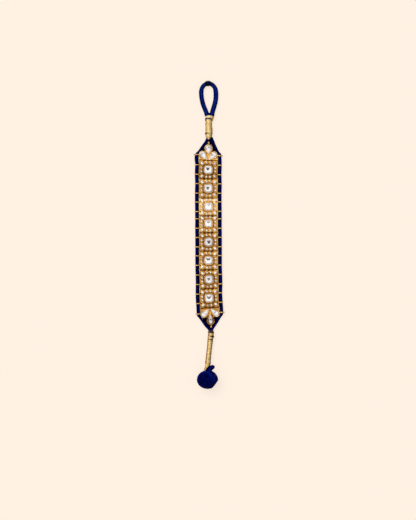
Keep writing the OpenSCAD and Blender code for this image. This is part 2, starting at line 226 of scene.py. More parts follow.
# %% A colour from the tone, and a surface from noise
def toned_colour(material, shader, stops, mottle, mottle_mm):
    """Colours a piece by its tone, shifted a little up and down by noise.

    stops are the ramp's places, from dark to light, each with its colour.
    """
    tone = add_node(material, "ShaderNodeAttribute", attribute_name="tone")
    shift = add_node(material, "ShaderNodeMath", operation="MULTIPLY_ADD")
    shift.inputs[1].default_value = mottle
    shift.inputs[2].default_value = -mottle/2
    total = add_node(material, "ShaderNodeMath", operation="ADD")
    ramp = add_node(material, "ShaderNodeValToRGB")
    join(material, (noise(material, mottle_mm), shift.inputs[0]),
        (tone.outputs["Fac"], total.inputs[0]), (shift.outputs[0], total.inputs[1]),
        (total.outputs[0], ramp.inputs["Fac"]), (ramp.outputs["Color"], shader.inputs["Base Color"]))
    while len(ramp.color_ramp.elements) < len(stops):
        ramp.color_ramp.elements.new(0.5)
    # The first pass puts the stops in order, and the second colours them
    for _ in range(2):
        for element, (at, colour) in zip(ramp.color_ramp.elements, stops):
            element.position = at
            element.color = (*colour, 1.0)


def fine_bump(material, shader, size_mm, height_mm, stretch=(1, 1, 1)):
    """Raises grains of about this size to this height."""
    bump = add_node(material, "ShaderNodeBump")
    set_inputs(bump, Strength=0.6, Distance=height_mm*MM)
    join(material, (noise(material, size_mm, 3.0, stretch), bump.inputs["Height"]),
        (bump.outputs["Normal"], shader.inputs["Normal"]))


def rough_noise(material, shader, low, high, size_mm):
    """Spreads the roughness between low and high by noise."""
    spread = add_node(material, "ShaderNodeMapRange")
    set_inputs(spread, To_Min=low, To_Max=high)
    join(material, (noise(material, size_mm), spread.inputs["Value"]),
        (spread.outputs["Result"], shader.inputs["Roughness"]))


# %% Silk
def thread_material(name, stops):
    """Silk: hardly any shine, and that little is blue."""
    material, shader = new_material(
        name, Specular_IOR_Level=0.02, Specular_Tint=(0.1, 0.25, 1.0, 1.0))
    toned_colour(material, shader, stops, 0.3, 1.6)
    rough_noise(material, shader, 0.42, 0.62, 0.8)
    fine_bump(material, shader, 0.06, 0.02)
    return material


blue_silk = thread_material("blue_silk", [
    (0.0, (0.0001, 0.0002, 0.012)), (0.35, (0.0003, 0.001, 0.05)),
    (0.68, (0.0008, 0.006, 0.13)), (1.0, (0.003, 0.026, 0.26))])
# shaded_silk is the blue silk made near-black as painted shade, for threads that lie in the shade
shaded_silk = thread_material("shaded_silk", [
    (0.0, (0.0001, 0.0001, 0.001)), (1.0, (0.0003, 0.0006, 0.012))])
black_silk = thread_material("black_silk", [
    (0.0, (0.0004, 0.0004, 0.0005)), (1.0, (0.004, 0.004, 0.005))])
print("thread materials:", blue_silk.name, shaded_silk.name, black_silk.name)

# %% [markdown]
# ## A skein
#
# The cords aren't plaited. They are skeins: many threads that lie side by side and turn round
# each other slowly. A tube with grooves would look alike from afar, but real threads, each
# with its own tube, catch the light one by one. A plain dark tube inside stops any light from
# coming through between them.

# %% Lay threads round a line
def skein(line, count, thread_r, turn_every, wander, seed, low, high, dim=0.0):
    """Threads laid round a line whose rows hold a half width and a half height.

    They turn round each other once in turn_every and wander by this share of a thread's place. A
    thread takes the tone low where it lies at a side of the skein and high on top: painted shade on
    the sides and painted light on top. dim is painted shade taken off the tone along the line.
    """
    rng = np.random.default_rng(seed)
    across, up = across_and_up(line)
    far = run_length(line)
    half_w, half_h = line[:, 3], line[:, 4]
    middle = line[:, :3]
    parts = [tube(middle, up, half_w - thread_r, half_h - thread_r, 12, tone=0.0)]
    for k in range(count):
        sway = wander*np.sin(far*2*np.pi/rng.uniform(6, 14) + rng.uniform(0, 2*np.pi))
        angle = 2*np.pi*(k + sway)/count + 2*np.pi*far/turn_every
        cos, sin = np.cos(angle)[:, None], np.sin(angle)[:, None]
        r = thread_r*rng.uniform(0.9, 1.12)
        sunk = r + thread_r*rng.uniform(0, 0.25)
        place = across*cos*(half_w - sunk)[:, None] + up*sin*(half_h - sunk)[:, None]
        # Painted light on top and painted shade at the sides, shifted a little at random for each thread
        tone = low + (high - low)*np.clip(sin[:, 0], 0, 1)**2.2 + rng.uniform(-0.1, 0.1)
        tone += 0.07*np.sin(far*2*np.pi/rng.uniform(5, 11) + k)
        parts.append(tube(middle + place, across*cos + up*sin, r, r, tone=tone - dim))
    return parts


# %% [markdown]
# ## The loop
#
# The loop is a loose cord, shown whole in the photo, so its length is the length of the line
# through these points, which are those of the part's source. It leaves the upper neck on the
# left, lies on the table in a long eye, and goes back into the neck on the right. Its right
# half is looser, so it is a little wider. The tip bends as tightly as such a cord can.

# %% Make the loop
loop_points = [
    [-0.75, 68.9, 1.75], [-1.4, 71.1, 1.55], [-3.1, 75.4, 1.3], [-4.2, 79.6, 1.25],
    [-4.6, 82.2, 1.25], [-4.65, 84.7, 1.25], [-4.05, 87, 1.45], [-2.35, 88.95, 1.75],
    [-0.05, 89.7, 1.9], [2.25, 88.95, 1.75], [4.05, 87, 1.45], [4.75, 84.7, 1.25],
    [4.85, 82.2, 1.25], [4.7, 79.4, 1.25], [3.75, 75.2, 1.3], [2.55, 71.1, 1.55], [2.1, 68.9, 1.75]]
# Half the width shown at the tip, what each leg has more, what the right one has more still, and
# half the height
TIP_HALF, LEG_MORE, RIGHT_MORE, HALF_HIGH = 1.42, 0.09, 0.08, 1.22
LEGS_END, LEFT_STRAIGHT_END = 86, 80
LINE_STEP = 0.3


def loop_row(x, y, z):
    """A point of the loop as it is shown, with its half width and half height.

    Its legs lie a few hundredths of a millimetre beside the source's.
    """
    in_leg, right = y < LEGS_END, x > 1
    shift = 0.08*(x < -1)*(y > LEFT_STRAIGHT_END) - 0.05*right*in_leg
    return [x + shift, y, z, TIP_HALF + in_leg*(LEG_MORE + RIGHT_MORE*right), HALF_HIGH]


loop_rows = [loop_row(*point) for point in loop_points]
loop_line = smooth_line(loop_rows, LINE_STEP)
in_neck = [[x, 67.5, 1.9, 1.0, 1.0] for x in (-0.45, 1.75)]
shown_line = smooth_line([in_neck[0], *loop_rows, in_neck[1]], LINE_STEP)
loop = new_piece("loop_threads", skein(shown_line, 26, 0.2, 60, 0.5, 3, 0.0, 0.88), blue_silk,
    ["loop_cord"])

# %% [markdown]
# ## The black binding at the loop's tip
#
# A few turns of black thread hold the tip of the loop together, in two heaped layers. In the
# middle of the top the turns part and a little blue shows. Each turn is one round of a coil
# that follows the loop's own bend, and the turns near the middle are pushed apart on top.

# %% A thread wound round a line
def sized(line, half_w, half_h):
    """The line with this half width and half height."""
    return np.column_stack([line[:, :3], np.full(len(line), half_w), np.full(len(line), half_h)])


def here_on(line, place):
    """The middle, half width, half height, across and up of a line, this far from its start."""
    columns = np.column_stack([line, *across_and_up(line)])
    here = np.column_stack([np.interp(place, run_length(line), column) for column in columns.T])
    return here[:, :3], here[:, 3:4], here[:, 4:5], here[:, 5:8], here[:, 8:]


def wound(line, pitch, thread_r, seed, per_turn=28, push=None, shade=None, start=0.0):
    """One thread wound round a line, its turns a pitch apart.

    push moves the points along the line, and shade gives their tones.
    """
    rng = np.random.default_rng(seed)
    length = run_length(line)[-1]
    turns = (length - 2*thread_r)/pitch
    angle = np.linspace(0, 2*np.pi*turns, max(8, int(turns*per_turn)))
    at = thread_r + angle/(2*np.pi)*pitch
    at += thread_r*0.25*np.sin(angle/(2*np.pi)*rng.uniform(1.5, 2.5) + rng.uniform(0, 6))
    if push is not None:
        at = push(at, angle + start)
    at = np.clip(at, 0, length)
    middle, w, h, wide, tall = here_on(line, at)
    cos, sin = np.cos(angle + start)[:, None], np.sin(angle + start)[:, None]
    path = middle + wide*cos*(w - thread_r) + tall*sin*(h - thread_r)
    tone = 0.55 + 0.12*np.sin(angle/(2*np.pi)*2.1 + 1) if shade is None else shade(at, angle + start)
    return tube(path, unit(wide*cos*h + tall*sin*w), thread_r, thread_r, tone=tone)


# %% Wind the binding
BINDING_HALF, BINDING_R = 1.95, 0.15
tip = np.argmin(np.hypot(loop_line[:, 0] + 0.25, loop_line[:, 1] - 89.65))
loop_far = run_length(loop_line)
held = np.abs(loop_far - loop_far[tip]) < BINDING_HALF
binding_line = loop_line[held]


def fade(distance, width):
    """1 where a distance is 0, fading to nothing over about this width."""
    return np.exp(-(distance/width)**2)


def part_on_top(at, angle):
    """Pushes the turns away from the middle where they cross the top."""
    off = at - BINDING_HALF
    return at + 0.3*np.sign(off)*fade(off, 0.7)*np.clip(np.sin(angle), 0, 1)**12


# Layers from the cord outwards: points left off at each end, half width, half height, pitch,
# thread radius, seed, first angle
layers = (
    (0, 1.5, 1.48, 0.27, 0.15, 11, 0.0), (2, 1.72, 1.72, 0.29, 0.15, 12, 2.0),
    (3, 1.88, 1.86, 0.34, 0.14, 13, 4.0))
binding_parts = []
for left_off, half_w, half_h, pitch, thread_r, seed, first in layers:
    line = sized(binding_line[left_off:len(binding_line) - left_off], half_w, half_h)
    binding_parts.append(wound(line, pitch, thread_r, seed, 24, part_on_top, start=first))


def strand(rows, half_w, half_h, tone, step=0.2):
    """One thread that follows a smooth line through these rows."""
    return tube(smooth_line(rows, step), UP, half_w, half_h, tone=tone)


# The thread's end is laid along the inner side of the cord
for k in range(3):
    rows = [[-1.2 - 0.1*k, 88.2 + 0.1*k, 2.3], [-2.1, 87.95 - 0.1*k, 2.2 + 0.1*k],
        [-2.75 - 0.05*k, 86.9, 1.9 + 0.15*k], [-3.2 - 0.04*k, 85.7 - 0.2*k, 1.6 + 0.1*k]]
    binding_parts.append(strand(rows, BINDING_R, BINDING_R, 0.4, LINE_STEP))
binding = new_piece("binding_threads", binding_parts, black_silk, ["loop_binding"])

# %% The blue in the binding's window and in the crotch of the loop
window_parts = [strand([[-0.9, y, 3.3], [-0.4, y, 3.72], [0.1, y, 3.3]], 0.14, 0.14, 0.85, 0.1)
                for y in (89.5, 89.74, 89.98, 90.2)]
new_piece("binding_window_threads", window_parts, blue_silk)
crotch_parts = []
for k in range(7):
    rows = [[-0.2 + 0.3*k, 68.0, 2.0], [0.05 + 0.2*k, 69.4, 2.1], [0.25 + 0.12*k, 70.8, 1.6]]
    crotch_parts.append(strand(rows, 0.22, 0.2, 0.1 + 0.1*(k % 3)))
new_piece("loop_crotch_threads", crotch_parts, blue_silk)

# %% [markdown]
# ## The two side skeins
#
# Both skeins start in the upper neck, splay past the upper end piece, run down through the
# rings on the plaques' edges and meet again in the lower neck. Between two rings a skein swells
# a little, and each ring pinches it. The ring rows come from the plaques: the middle of each
# plaque is read from its middle stone, and the short table adds how it lies.

# %% Where the plaques are
CORD_X, RING_Y = 7.5, 3.04
# turn, tilt, reach towards the loop, reach towards the button, how brightly it is lit, and how
# much brighter its edge towards the loop is than its middle
PLAQUES = [
    [-1.2, 1.5, 5.9, 5.9, -0.09, 0.11], [-0.6, -0.6, 5.9, 6.1, 0.01, 0.06],
    [0.6, -2.4, 5.4, 5.7, 0.2, 0.08], [0, 0, 4.75, 5.85, 0.05, 0.0],
    [0.5, 1, 5.8, 5.8, -0.06, 0.0], [0.7, -1, 5.85, 5.9, 0.02, -0.02],
    [1.8, 1.4, 5.9, 5.9, -0.06, 0.02], [3.5, 0.6, 5.85, 6, -0.06, 0.05]]


def spun(x, y, degrees):
    """A place turned about the origin."""
    a = np.radians(degrees)
    return x*np.cos(a) - y*np.sin(a), x*np.sin(a) + y*np.cos(a)


def middle_of(node):
    low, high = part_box(node)
    return np.array((low + high)/2)/MM


def on_plaque(number, x, y):
    """A point of a plaque's own plane, in the bracelet's plane."""
    middle = middle_of(f"centre_stone_{number}")
    dx, dy = spun(x, y, PLAQUES[number - 1][0])
    return middle[0] + dx, middle[1] + dy


ring_rows = {side: [on_plaque(n, side*CORD_X, y)[1] for n in range(1, 9) for y in (RING_Y, -RING_Y)]
             for side in (-1, 1)}
print("first ring rows, mm:", [round(y, 1) for y in ring_rows[-1][:4]])

# %% The lines of the side skeins
def in_rings(*places):
    """Rows of a skein where it lies round and level in its rings."""
    return [[x, y, 1.45, 1, 1] for x, y in places]


# Across, along, height, half width, half height
left_points = [
    [-0.55, 54.45, 1.3, 0.95, 0.95], [-1.5, 52.35, 1.05, 0.9, 0.8], [-3.32, 49.78, 0.95, 0.88, 0.8],
    [-5.0, 47.38, 0.95, 0.85, 0.8], [-6.45, 45.65, 0.97, 0.75, 0.8], [-7.35, 44.8, 1.4, 0.85, 0.9],
    [-7.65, 43.5, 1.55, 1, 1],
    *in_rings((-7.5, 37.6), (-7.7, 31.6), (-7.5, 25.5), (-7.6, 19.4), (-7.6, 13.6), (-7.5, 7.5),
        (-7.5, 3), (-7.5, -3), (-7.4, -8.9), (-7.4, -15), (-7.4, -20.8), (-7.4, -26.8),
        (-7.2, -32.9), (-7.1, -39), (-7.2, -45.2), (-6.9, -51.3)),
    [-6.5, -57.3, 1.55, 1, 1], [-6.4, -58.6, 1.5, 1, 1],
    [-5.5, -59.95, 1.05, 0.85, 0.8], [-4.22, -61.68, 0.95, 0.82, 0.8], [-2.85, -63.7, 0.95, 0.82, 0.8],
    [-1.3, -65.78, 1, 0.82, 0.85], [0.1, -67.3, 1.2, 0.8, 0.9], [0.6, -68.15, 1.4, 0.8, 0.9]]
right_points = [
    [1.55, 54.75, 1.5, 1.1, 0.95], [2.45, 52.7, 1.2, 1.15, 0.8], [3.55, 50.3, 0.95, 1.02, 0.8],
    [4.85, 47.8, 0.95, 0.92, 0.8], [6.15, 45.35, 1, 0.9, 0.8], [7.2, 44.1, 1.5, 1, 1],
    [7.3, 42.7, 1.55, 1, 1],
    *in_rings((7.5, 37.3), (7.3, 31.3), (7.5, 25.4), (7.4, 19.3), (7.4, 13.8), (7.5, 7.7),
        (7.5, 3), (7.5, -3), (7.6, -8.7), (7.6, -14.8), (7.6, -20.6), (7.6, -26.6),
        (7.8, -32.5), (7.9, -38.6), (7.8, -44.3), (8.1, -50.4)),
    [8.5, -56.2, 1.55, 1, 1], [8.5, -57.5, 1.5, 1, 1],
    [7.6, -59.15, 1.05, 0.88, 0.8], [6.42, -61.15, 0.95, 0.85, 0.8], [5.22, -63.15, 0.95, 0.85, 0.8],
    [3.9, -65.25, 1, 0.85, 0.85], [2.7, -67.1, 1.2, 0.8, 0.9], [2.35, -68.15, 1.4, 0.8, 0.9]]
print("points along each side skein:", len(left_points), len(right_points))


# %% Lay the side skeins
RING_HOLD = 0.8
# How much wider and higher a skein is between its rings, and how much less so in them
SWELL, PINCH = np.array([1.08, 1.1]), np.array([0.05, 0.08])


def pinched(line, rows):
    """Swells a skein between its rings, and says how far each point is in a ring's shade."""
    line = line.copy()
    held = np.clip(sum(fade(line[:, 1] - y, RING_HOLD) for y in rows), 0, 1)
    line[:, 3:] *= SWELL - PINCH*held[:, None]
    return line, 0.5*held


skeins = (("left", left_points, -1), ("right", right_points, 1))
in_upper_neck = {-1: [-0.3, 55.9, 1.9, 0.8, 0.9], 1: [0.95, 55.9, 1.9, 0.8, 0.9]}
in_lower_neck = {-1: [0.9, -69.4, 1.7, 0.6, 0.8], 1: [2.05, -69.4, 1.7, 0.6, 0.8]}
for name, points, side in skeins:
    whole = smooth_line([in_upper_neck[side], *points, in_lower_neck[side]], 0.4)
    line, dim = pinched(whole, ring_rows[side])
    threads = skein(line, 18, 0.19, 190, 0.7, 20 + side, 0.02, 0.52, dim)
    new_piece(f"side_threads_{name}", threads, blue_silk, [f"side_cord_{name}"])

# %% Shaded threads between a skein and the plaques
# These threads are near-black shaded_silk: their colour is painted shade
# How far inwards of the skein's middle each lies, and its height
low_threads = ((0.82, 0.42), (1.0, 0.72), (1.1, 1.08), (1.02, 1.45), (1.16, 0.45), (1.18, 0.8))
for name, points, side in skeins:
    run = smooth_line([p[:3] for p in points[5:-5]], 0.8)
    parts = []
    for inward, z in low_threads:
        line = np.column_stack([run[:, 0] - side*inward, run[:, 1], np.full(len(run), z)])
        parts.append(tube(line, UP, 0.18, 0.2, tone=0.3))
    new_piece(f"shaded_threads_{name}", parts, shaded_silk)

# %% [markdown]
# ## Threads that tuck under the end pieces
#
# Some threads of each skein don't keep to the outside. They pass low under the stones' lobes
# and rise into the neck beside the others. Seen from above they fill the corners next to the
# end pieces, mostly in the shade, and their near-black colour is painted shade. Each group is a
# flat fan: a row of threads between two lines.

# %% Fan the inner threads
def fan(start, end, count, bow, seed):
    """Threads from one line to another, each line given by its two ends, with a sideways bow."""
    rng = np.random.default_rng(seed)
    parts = []
    for k in range(count):
        share = (k + 0.5)/count
        a = np.array(start[0])*(1 - share) + np.array(start[1])*share
        b = np.array(end[0])*(1 - share) + np.array(end[1])*share
        t = np.linspace(0, 1, 22)[:, None]
        side = unit(np.cross(b - a, UP))
        line = a*(1 - t) + b*t + side*bow*np.sin(np.pi*t)
        line = line + UP*0.06*np.sin(2*np.pi*t*rng.uniform(0.6, 1.4) + k)
        parts.append(tube(line, UP, 0.21, 0.2, tone=rng.uniform(0.2, 0.7)))
    return parts


# The two ends of the line they start from, the two ends of the line they reach, how many, the bow
upper_groups = [
    ([-5.9, 45.3, 0.55], [-2.2, 46.0, 0.55], [-1.1, 54.3, 1.0], [0.5, 54.1, 1.0], 10, 0.2),
    ([2.6, 45.6, 0.7], [5.4, 45.0, 0.6], [0.6, 54.1, 1.0], [1.6, 54.3, 1.0], 8, -0.15),
    ([-3.4, 45.6, 0.8], [3.6, 45.6, 0.8], [-0.8, 55.0, 1.4], [1.3, 55.0, 1.4], 17, 0.0)]
lower_groups = [
    ([-4.6, -59.3, 0.5], [-1.2, -59.8, 0.5], [0.2, -68.0, 1.0], [1.4, -67.9, 1.0], 10, -0.2),
    ([3.4, -59.8, 0.5], [6.8, -59.0, 0.5], [1.5, -67.9, 1.0], [2.6, -68.0, 1.0], 10, 0.2),
    ([-1.9, -59.4, 0.8], [4.5, -59.2, 0.8], [0.5, -68.6, 1.4], [2.4, -68.6, 1.4], 16, 0.0)]
upper_fans, lower_fans = [], []
for fans, groups in ((upper_fans, upper_groups), (lower_fans, lower_groups)):
    for seed, (a, b, c, d, count, bow) in enumerate(groups, 41):
        fans += fan((a, b), (c, d), count, bow, seed)
new_piece("inner_threads_upper", upper_fans, shaded_silk)
new_piece("inner_threads_lower", lower_fans, shaded_silk)

# %% [markdown]
# ## The gold-wound necks
#
# Where the skeins come together they are wound with metal thread, turn beside turn. The real
# thread is a flat gilt strip spun round a core, so it is brighter than silk, but softer than
# solid gold. A wave in the bump gives each turn its spun look. The two necks differ: the upper
# one is short with a flared collar, and the lower one is long and steps where its layers lap.

# %% The metal thread
gilt_thread, gilt_shader = new_material("gilt_thread", Metallic=0.5, Specular_IOR_Level=0.5)
toned_colour(gilt_thread, gilt_shader, [
    (0.0, (0.07, 0.028, 0.006)), (0.35, (0.35, 0.18, 0.045)), (0.65, (0.7, 0.45, 0.14)),
    (1.0, (1.0, 0.79, 0.4))], 0.35, 0.9)
rough_noise(gilt_thread, gilt_shader, 0.3, 0.5, 0.5)
fine_bump(gilt_thread, gilt_shader, 0.05, 0.03, (1, 1, 2))
print("metal thread:", gilt_thread.name)

# %% The line of the upper neck
top_wrap_points = [
    [0.2, 53.8, 1.9, 0.3, 0.5], [0.15, 54.3, 1.95, 0.95, 0.9], [0.1, 54.9, 2, 1.55, 1.3],
    [0.08, 55.6, 2, 2.0, 1.65], [0.2, 56.5, 2, 2.22, 1.85], [0.3, 57.5, 2, 2.32, 1.95],
    [0.33, 60, 2, 2.36, 1.95], [0.18, 62, 2, 2.22, 1.95], [0.12, 64, 2, 2.18, 1.95],
    [0.15, 65.4, 2, 2.2, 1.95], [0.4, 66.8, 2.05, 2.4, 2], [0.62, 67.8, 2.05, 2.62, 2],
    [0.68, 68.6, 2, 2.6, 1.95], [0.68, 69.3, 2, 2.4, 1.9]]
top_wrap_line = smooth_line(top_wrap_points, 0.15)
print("line through the upper neck, mm:", round(run_length(top_wrap_line)[-1], 1))


# %% Tones, core and layers of a neck
def neck_tone(seed, edge_dark, rightward):
    """Painted light along the top of a neck and painted brown shade down its sides, more on its
    right, with slow changes along it.

    rightward is 1 where the line's across direction points to the right, and -1 otherwise.
    """
    rng = np.random.default_rng(seed)
    a, b, c = rng.uniform(0, 6, 3)

    def tone(at, angle):
        out = np.cos(angle)*rightward
        # The painted shade down the sides wobbles along the neck
        shade_wobble = 0.1*np.sin(at*2*np.pi/3.7 + c + 2*np.sign(out)) + 0.07*np.sin(at*2*np.pi/1.5 + a)
        side = np.clip((np.abs(out) - 0.5 + 0.7*shade_wobble)/0.28, 0, 1)
        slow = 0.06*np.sin(at*2*np.pi/3.1 + a) + 0.09*np.sin(at*2*np.pi/1.3 + b)
        return 0.9 - side*(edge_dark + 0.08*np.sign(out) - shade_wobble) - 0.1*out + slow

    return tone


def core(line, shrink, tone=0.1):
    """The body of a neck under its windings."""
    across, up = across_and_up(line)
    return tube(line[:, :3], up, line[:, 3] - shrink, line[:, 4] - shrink, 20, tone=tone)


def stepped(line, every, rise):
    """The line with small steps in its width and height, where one layer ends on the next."""
    step = rise*((run_length(line)/every + 0.4) % 1) - rise/2
    return sized(line, line[:, 3] + step, line[:, 4] + step)


ARC_STEPS, ARC_DIP = 40, 0.35


def arc_turn(line, at, spread, lean, thread_r, proud, tone=0.6):
    """An arc of thread over a neck, its ends dipped under the others.

    spread is its first and last angle, with 90 degrees on top, and lean how far its top leans on.
    """
    angle = np.radians(np.linspace(*spread, ARC_STEPS))
    middle, w, h, wide, tall = here_on(line, at + lean*np.sin(angle))
    dip = ARC_DIP*np.abs(np.linspace(-1, 1, ARC_STEPS))[:, None]**6
    cos, sin = np.cos(angle)[:, None], np.sin(angle)[:, None]
    path = middle + wide*cos*(w + proud - dip) + tall*sin*(h + proud - dip)
    return tube(path, unit(wide*cos + tall*sin), thread_r, thread_r, tone=tone)


def far_at(line, y):
    """How far along a neck its line passes this height."""
    return run_length(line)[np.argmin(np.abs(line[:, 1] - y))]


# %% Wind the upper neck
GILT_R, PITCH = 0.14, 0.26
upper_body = top_wrap_line[top_wrap_line[:, 1] < 67.3]
upper_parts = [core(top_wrap_line[top_wrap_line[:, 1] < 68.4], 0.2)]
upper_parts.append(
    wound(stepped(upper_body, 2.9, 0.1), PITCH, GILT_R, 51, shade=neck_tone(52, 0.48, 1)))
COLLAR_LEAN = 1.3
# The collar's turns carry painted shade on their right
collar_right = np.cos(np.radians(np.linspace(-90, 270, ARC_STEPS)))
collar_tone = 0.95 - 0.4*np.clip((collar_right - 0.45)/0.4, 0, 1)
for k in range(6):
    upper_parts.append(arc_turn(top_wrap_line, far_at(top_wrap_line, 66.35 + 0.25*k), (-90, 270),
        COLLAR_LEAN, 0.16, 0.12, collar_tone - 0.06*(k % 2)))
new_piece("upper_neck_windings", upper_parts, gilt_thread, ["top_wrap"])

# %% Wind the long lower neck
bottom_wrap_points = [
    [1.48, -68.2, 1.7, 1.6, 1.45], [1.5, -69, 1.8, 1.8, 1.6], [1.55, -71.5, 1.95, 1.92, 1.8],
    [1.13, -74.5, 2.1, 1.85, 1.75], [0.75, -78.6, 2.35, 1.72, 1.6], [0.4, -81.5, 2.6, 1.72, 1.6],
    [-0.05, -85.9, 3, 1.72, 1.6], [-0.42, -90.3, 3.5, 1.8, 1.6], [-0.5, -92.3, 3.75, 1.55, 1.45],
    [-0.55, -93.3, 3.85, 1.1, 1.1]]
bottom_wrap_line = smooth_line(bottom_wrap_points, 0.15)
print("line through the lower neck, mm:", round(run_length(bottom_wrap_line)[-1], 1))
lower_parts = [core(bottom_wrap_line, 0.22)]
lower_tone = neck_tone(56, 0.7, -1)
LOWER_DARKER = 0.08
lower_parts.append(wound(stepped(bottom_wrap_line, 3.3, 0.12), PITCH, GILT_R, 55,
    shade=lambda at, angle: lower_tone(at, angle) - LOWER_DARKER))
# Gilt threads run on loose to the ball
for k in range(-3, 5):
    rows = [[-1.2 - 0.17*k, -89.6, 4.7 - 0.15*k], [-1.35 - 0.19*k, -91.4, 5.3 - 0.1*k],
        [-1.95 - 0.2*k, -93.0, 6.2], [-2.45 - 0.12*k, -94.2, 6.9]]
    lower_parts.append(strand(rows, GILT_R, GILT_R, 0.75 - 0.08*(k % 3)))
new_piece("lower_neck_windings", lower_parts, gilt_thread, ["bottom_wrap"])

# %% [markdown]
# ## Blue turns on the necks
#
# Here and there a turn or two of blue silk shows between the gilt turns. Each is a part of a
# ring round the neck, tipped so that its top leans along the neck, and its ends dip under the
# gold. An arc is enough, because the rest is hidden.

# %% Lay the blue turns
upper_blue = [arc_turn(top_wrap_line, far_at(top_wrap_line, 65.75) + k*0.21, (42, 200), COLLAR_LEAN,
    0.16, 0.15, 0.5) for k in range(3)]
upper_blue += [arc_turn(top_wrap_line, far_at(top_wrap_line, 57.0) + k*0.21, (84 + 12*k, 205), 0.6,
    0.15, 0.15, 0.3) for k in range(3)]
new_piece("upper_neck_blue_turns", upper_blue, blue_silk)
lower_blue = []
# Where along the neck, how many turns, their first and last angles
lower_marks = (
    (-69.7, 3, (50, 190)), (-72.25, 2, (72, 190)), (-72.3, 3, (112, 190)), (-74.2, 2, (75, 140)))
for y, turns, spread in lower_marks:
    for k in range(turns):
        at = far_at(bottom_wrap_line, y) + (k - (turns - 1)/2)*0.22
        lower_blue.append(arc_turn(bottom_wrap_line, at, spread, 0.0, 0.15, 0.15, 0.1))
# At the neck's start the blue is lighter, and gilt shows between its turns
lower_blue += [arc_turn(bottom_wrap_line, far_at(bottom_wrap_line, -68.1) + k*0.36, (40, 125), 0.1,
    0.15, 0.14, 0.7) for k in range(4)]
new_piece("lower_neck_blue_turns", lower_blue, blue_silk)

# %% [markdown]
# ## The button
#
# The button is a ball of thread: bands of a few threads each are wound round a core, every
# band across the ones below. A band is a circle on the ball, a little off its middle. The ones
# that show on top are placed as the photo shows them, and the rest turn at random.

# %% The ball's form and its bands
ball = np.array([-0.6, -100.1, 6.4])
BALL_STRETCH, LOWER_HALF = [1.055, 1.0, 0.97], 0.885
FLAT_SIDE, FLAT_FROM, FLATNESS = unit(np.array([0.795, -0.607, 0.0])), 5.45, 0.75
# The threads of a band lie a little closer than their full width, so that they press together
BALL_THREAD_R, THREAD_APART = 0.19, 0.19*1.85


def pressed(points):
    """The ball's true form: a little wide, flatter below, and pressed on its lower right."""
    shape = (points - ball)*BALL_STRETCH
    shape[:, 1] *= np.where(shape[:, 1] < 0, LOWER_HALF, 1.0)
    past = np.clip(shape @ FLAT_SIDE - FLAT_FROM, 0, None)
    return ball + shape - FLATNESS*past[:, None]*FLAT_SIDE


def band(normal, offset, count, radius, tone, bright=0.0):
    """A band of threads side by side round the ball, square to the normal.

    bright is the direction, in degrees round the ball as seen from above, where its painted light
    is strongest. The threads at a band's edges are painted darker, as shade where bands meet.
    """
    normal = unit(np.array(normal, float))
    first = unit(np.cross(normal, [0.3, 0.5, 0.81]))
    second = np.cross(normal, first)
    angle = np.linspace(0, 2*np.pi, 70, endpoint=False)[:, None]
    parts = []
    for k in range(count):
        height = offset + (k - (count - 1)/2)*THREAD_APART
        r = np.sqrt(max(radius**2 - height**2, 0.1))
        out = first*np.cos(angle) + second*np.sin(angle)
        line = ball + out*r + normal*height
        outward = unit(line - ball)
        heading = np.arctan2(outward[:, 1], outward[:, 0])
        # Painted light on one side of the ball, and painted shade on the edge threads of each band
        lit = 0.85 + 0.35*np.cos(heading - np.radians(bright))
        at_edge = 0.65 if k in (0, count - 1) else 1
        own = tone*at_edge*lit + 0.02*((k*7) % 5)
        parts.append(tube(line, outward, BALL_THREAD_R, BALL_THREAD_R, closed=True, tone=own))
    return parts


# %% Wind the ball
rng = np.random.default_rng(61)
ball_parts = []
for k in range(22):
    tilt = rng.normal(size=3)
    ball_parts += band(tilt, rng.uniform(-2.2, 2.2), 6, 5.76 + 0.015*k, rng.uniform(0.15, 0.45))
# The bands that show: axis, how far off the middle, how many threads, tone, brightest direction
shown = [
    ([0.1, -0.1, 1.0], 1.6, 7, 0.4, 150), ([0.0, 0.9, -0.3], 2.6, 5, 0.4, 90),
    ([-0.3, -0.65, 0.7], 3.8, 6, 0.4, -120), ([0.65, -0.45, 0.6], 3.7, 5, 0.5, 0),
    ([-0.7, 0.35, 0.6], 3.6, 6, 0.5, 160), ([0.8, 0.53, -0.36], 1.7, 4, 0.65, 35),
    ([0.45, 0.5, 0.74], 4.1, 5, 0.5, 60), ([-0.42, 0.22, 0.88], 4.1, 5, 0.6, 110)]
for k, (normal, offset, count, tone, bright) in enumerate(shown):
    ball_parts += band(normal, offset, count, 6.02 + 0.045*k, tone, bright)
BALL_CORE_R = 5.8
angle = np.linspace(-np.pi/2, np.pi/2, 24)
core_line = np.column_stack([0*angle, 0*angle, np.sin(angle)])*BALL_CORE_R + ball
core_half = BALL_CORE_R*np.cos(angle) + 0.01
ball_parts.append(tube(core_line, [1.0, 0, 0], core_half, core_half, 48, tone=0.0))
ball_parts = [(pressed(points), faces, tones) for points, faces, tones in ball_parts]
new_piece("button_windings", ball_parts, blue_silk, ["button"])

# %% Tie the knot at its neck
knot_points = [
    [-0.9, -97.0, 8.3, 1.5, 1.1], [-0.5, -95.7, 8.4, 1.9, 1.2], [0.05, -94.4, 8.1, 2.05, 1.25],
    [0.65, -93.2, 7.6, 1.9, 1.25], [1.5, -92.35, 7.2, 1.68, 1.25], [2.4, -91.85, 6.9, 1.5, 1.2],
    [3.1, -91.65, 6.75, 1.32, 1.1], [3.6, -91.55, 6.6, 0.95, 0.85], [3.9, -91.5, 6.6, 0.4, 0.45]]
knot_line = smooth_line(knot_points, 0.25)
new_piece("button_knot", skein(knot_line, 24, 0.23, 16, 0.4, 66, 0.0, 0.6), blue_silk)
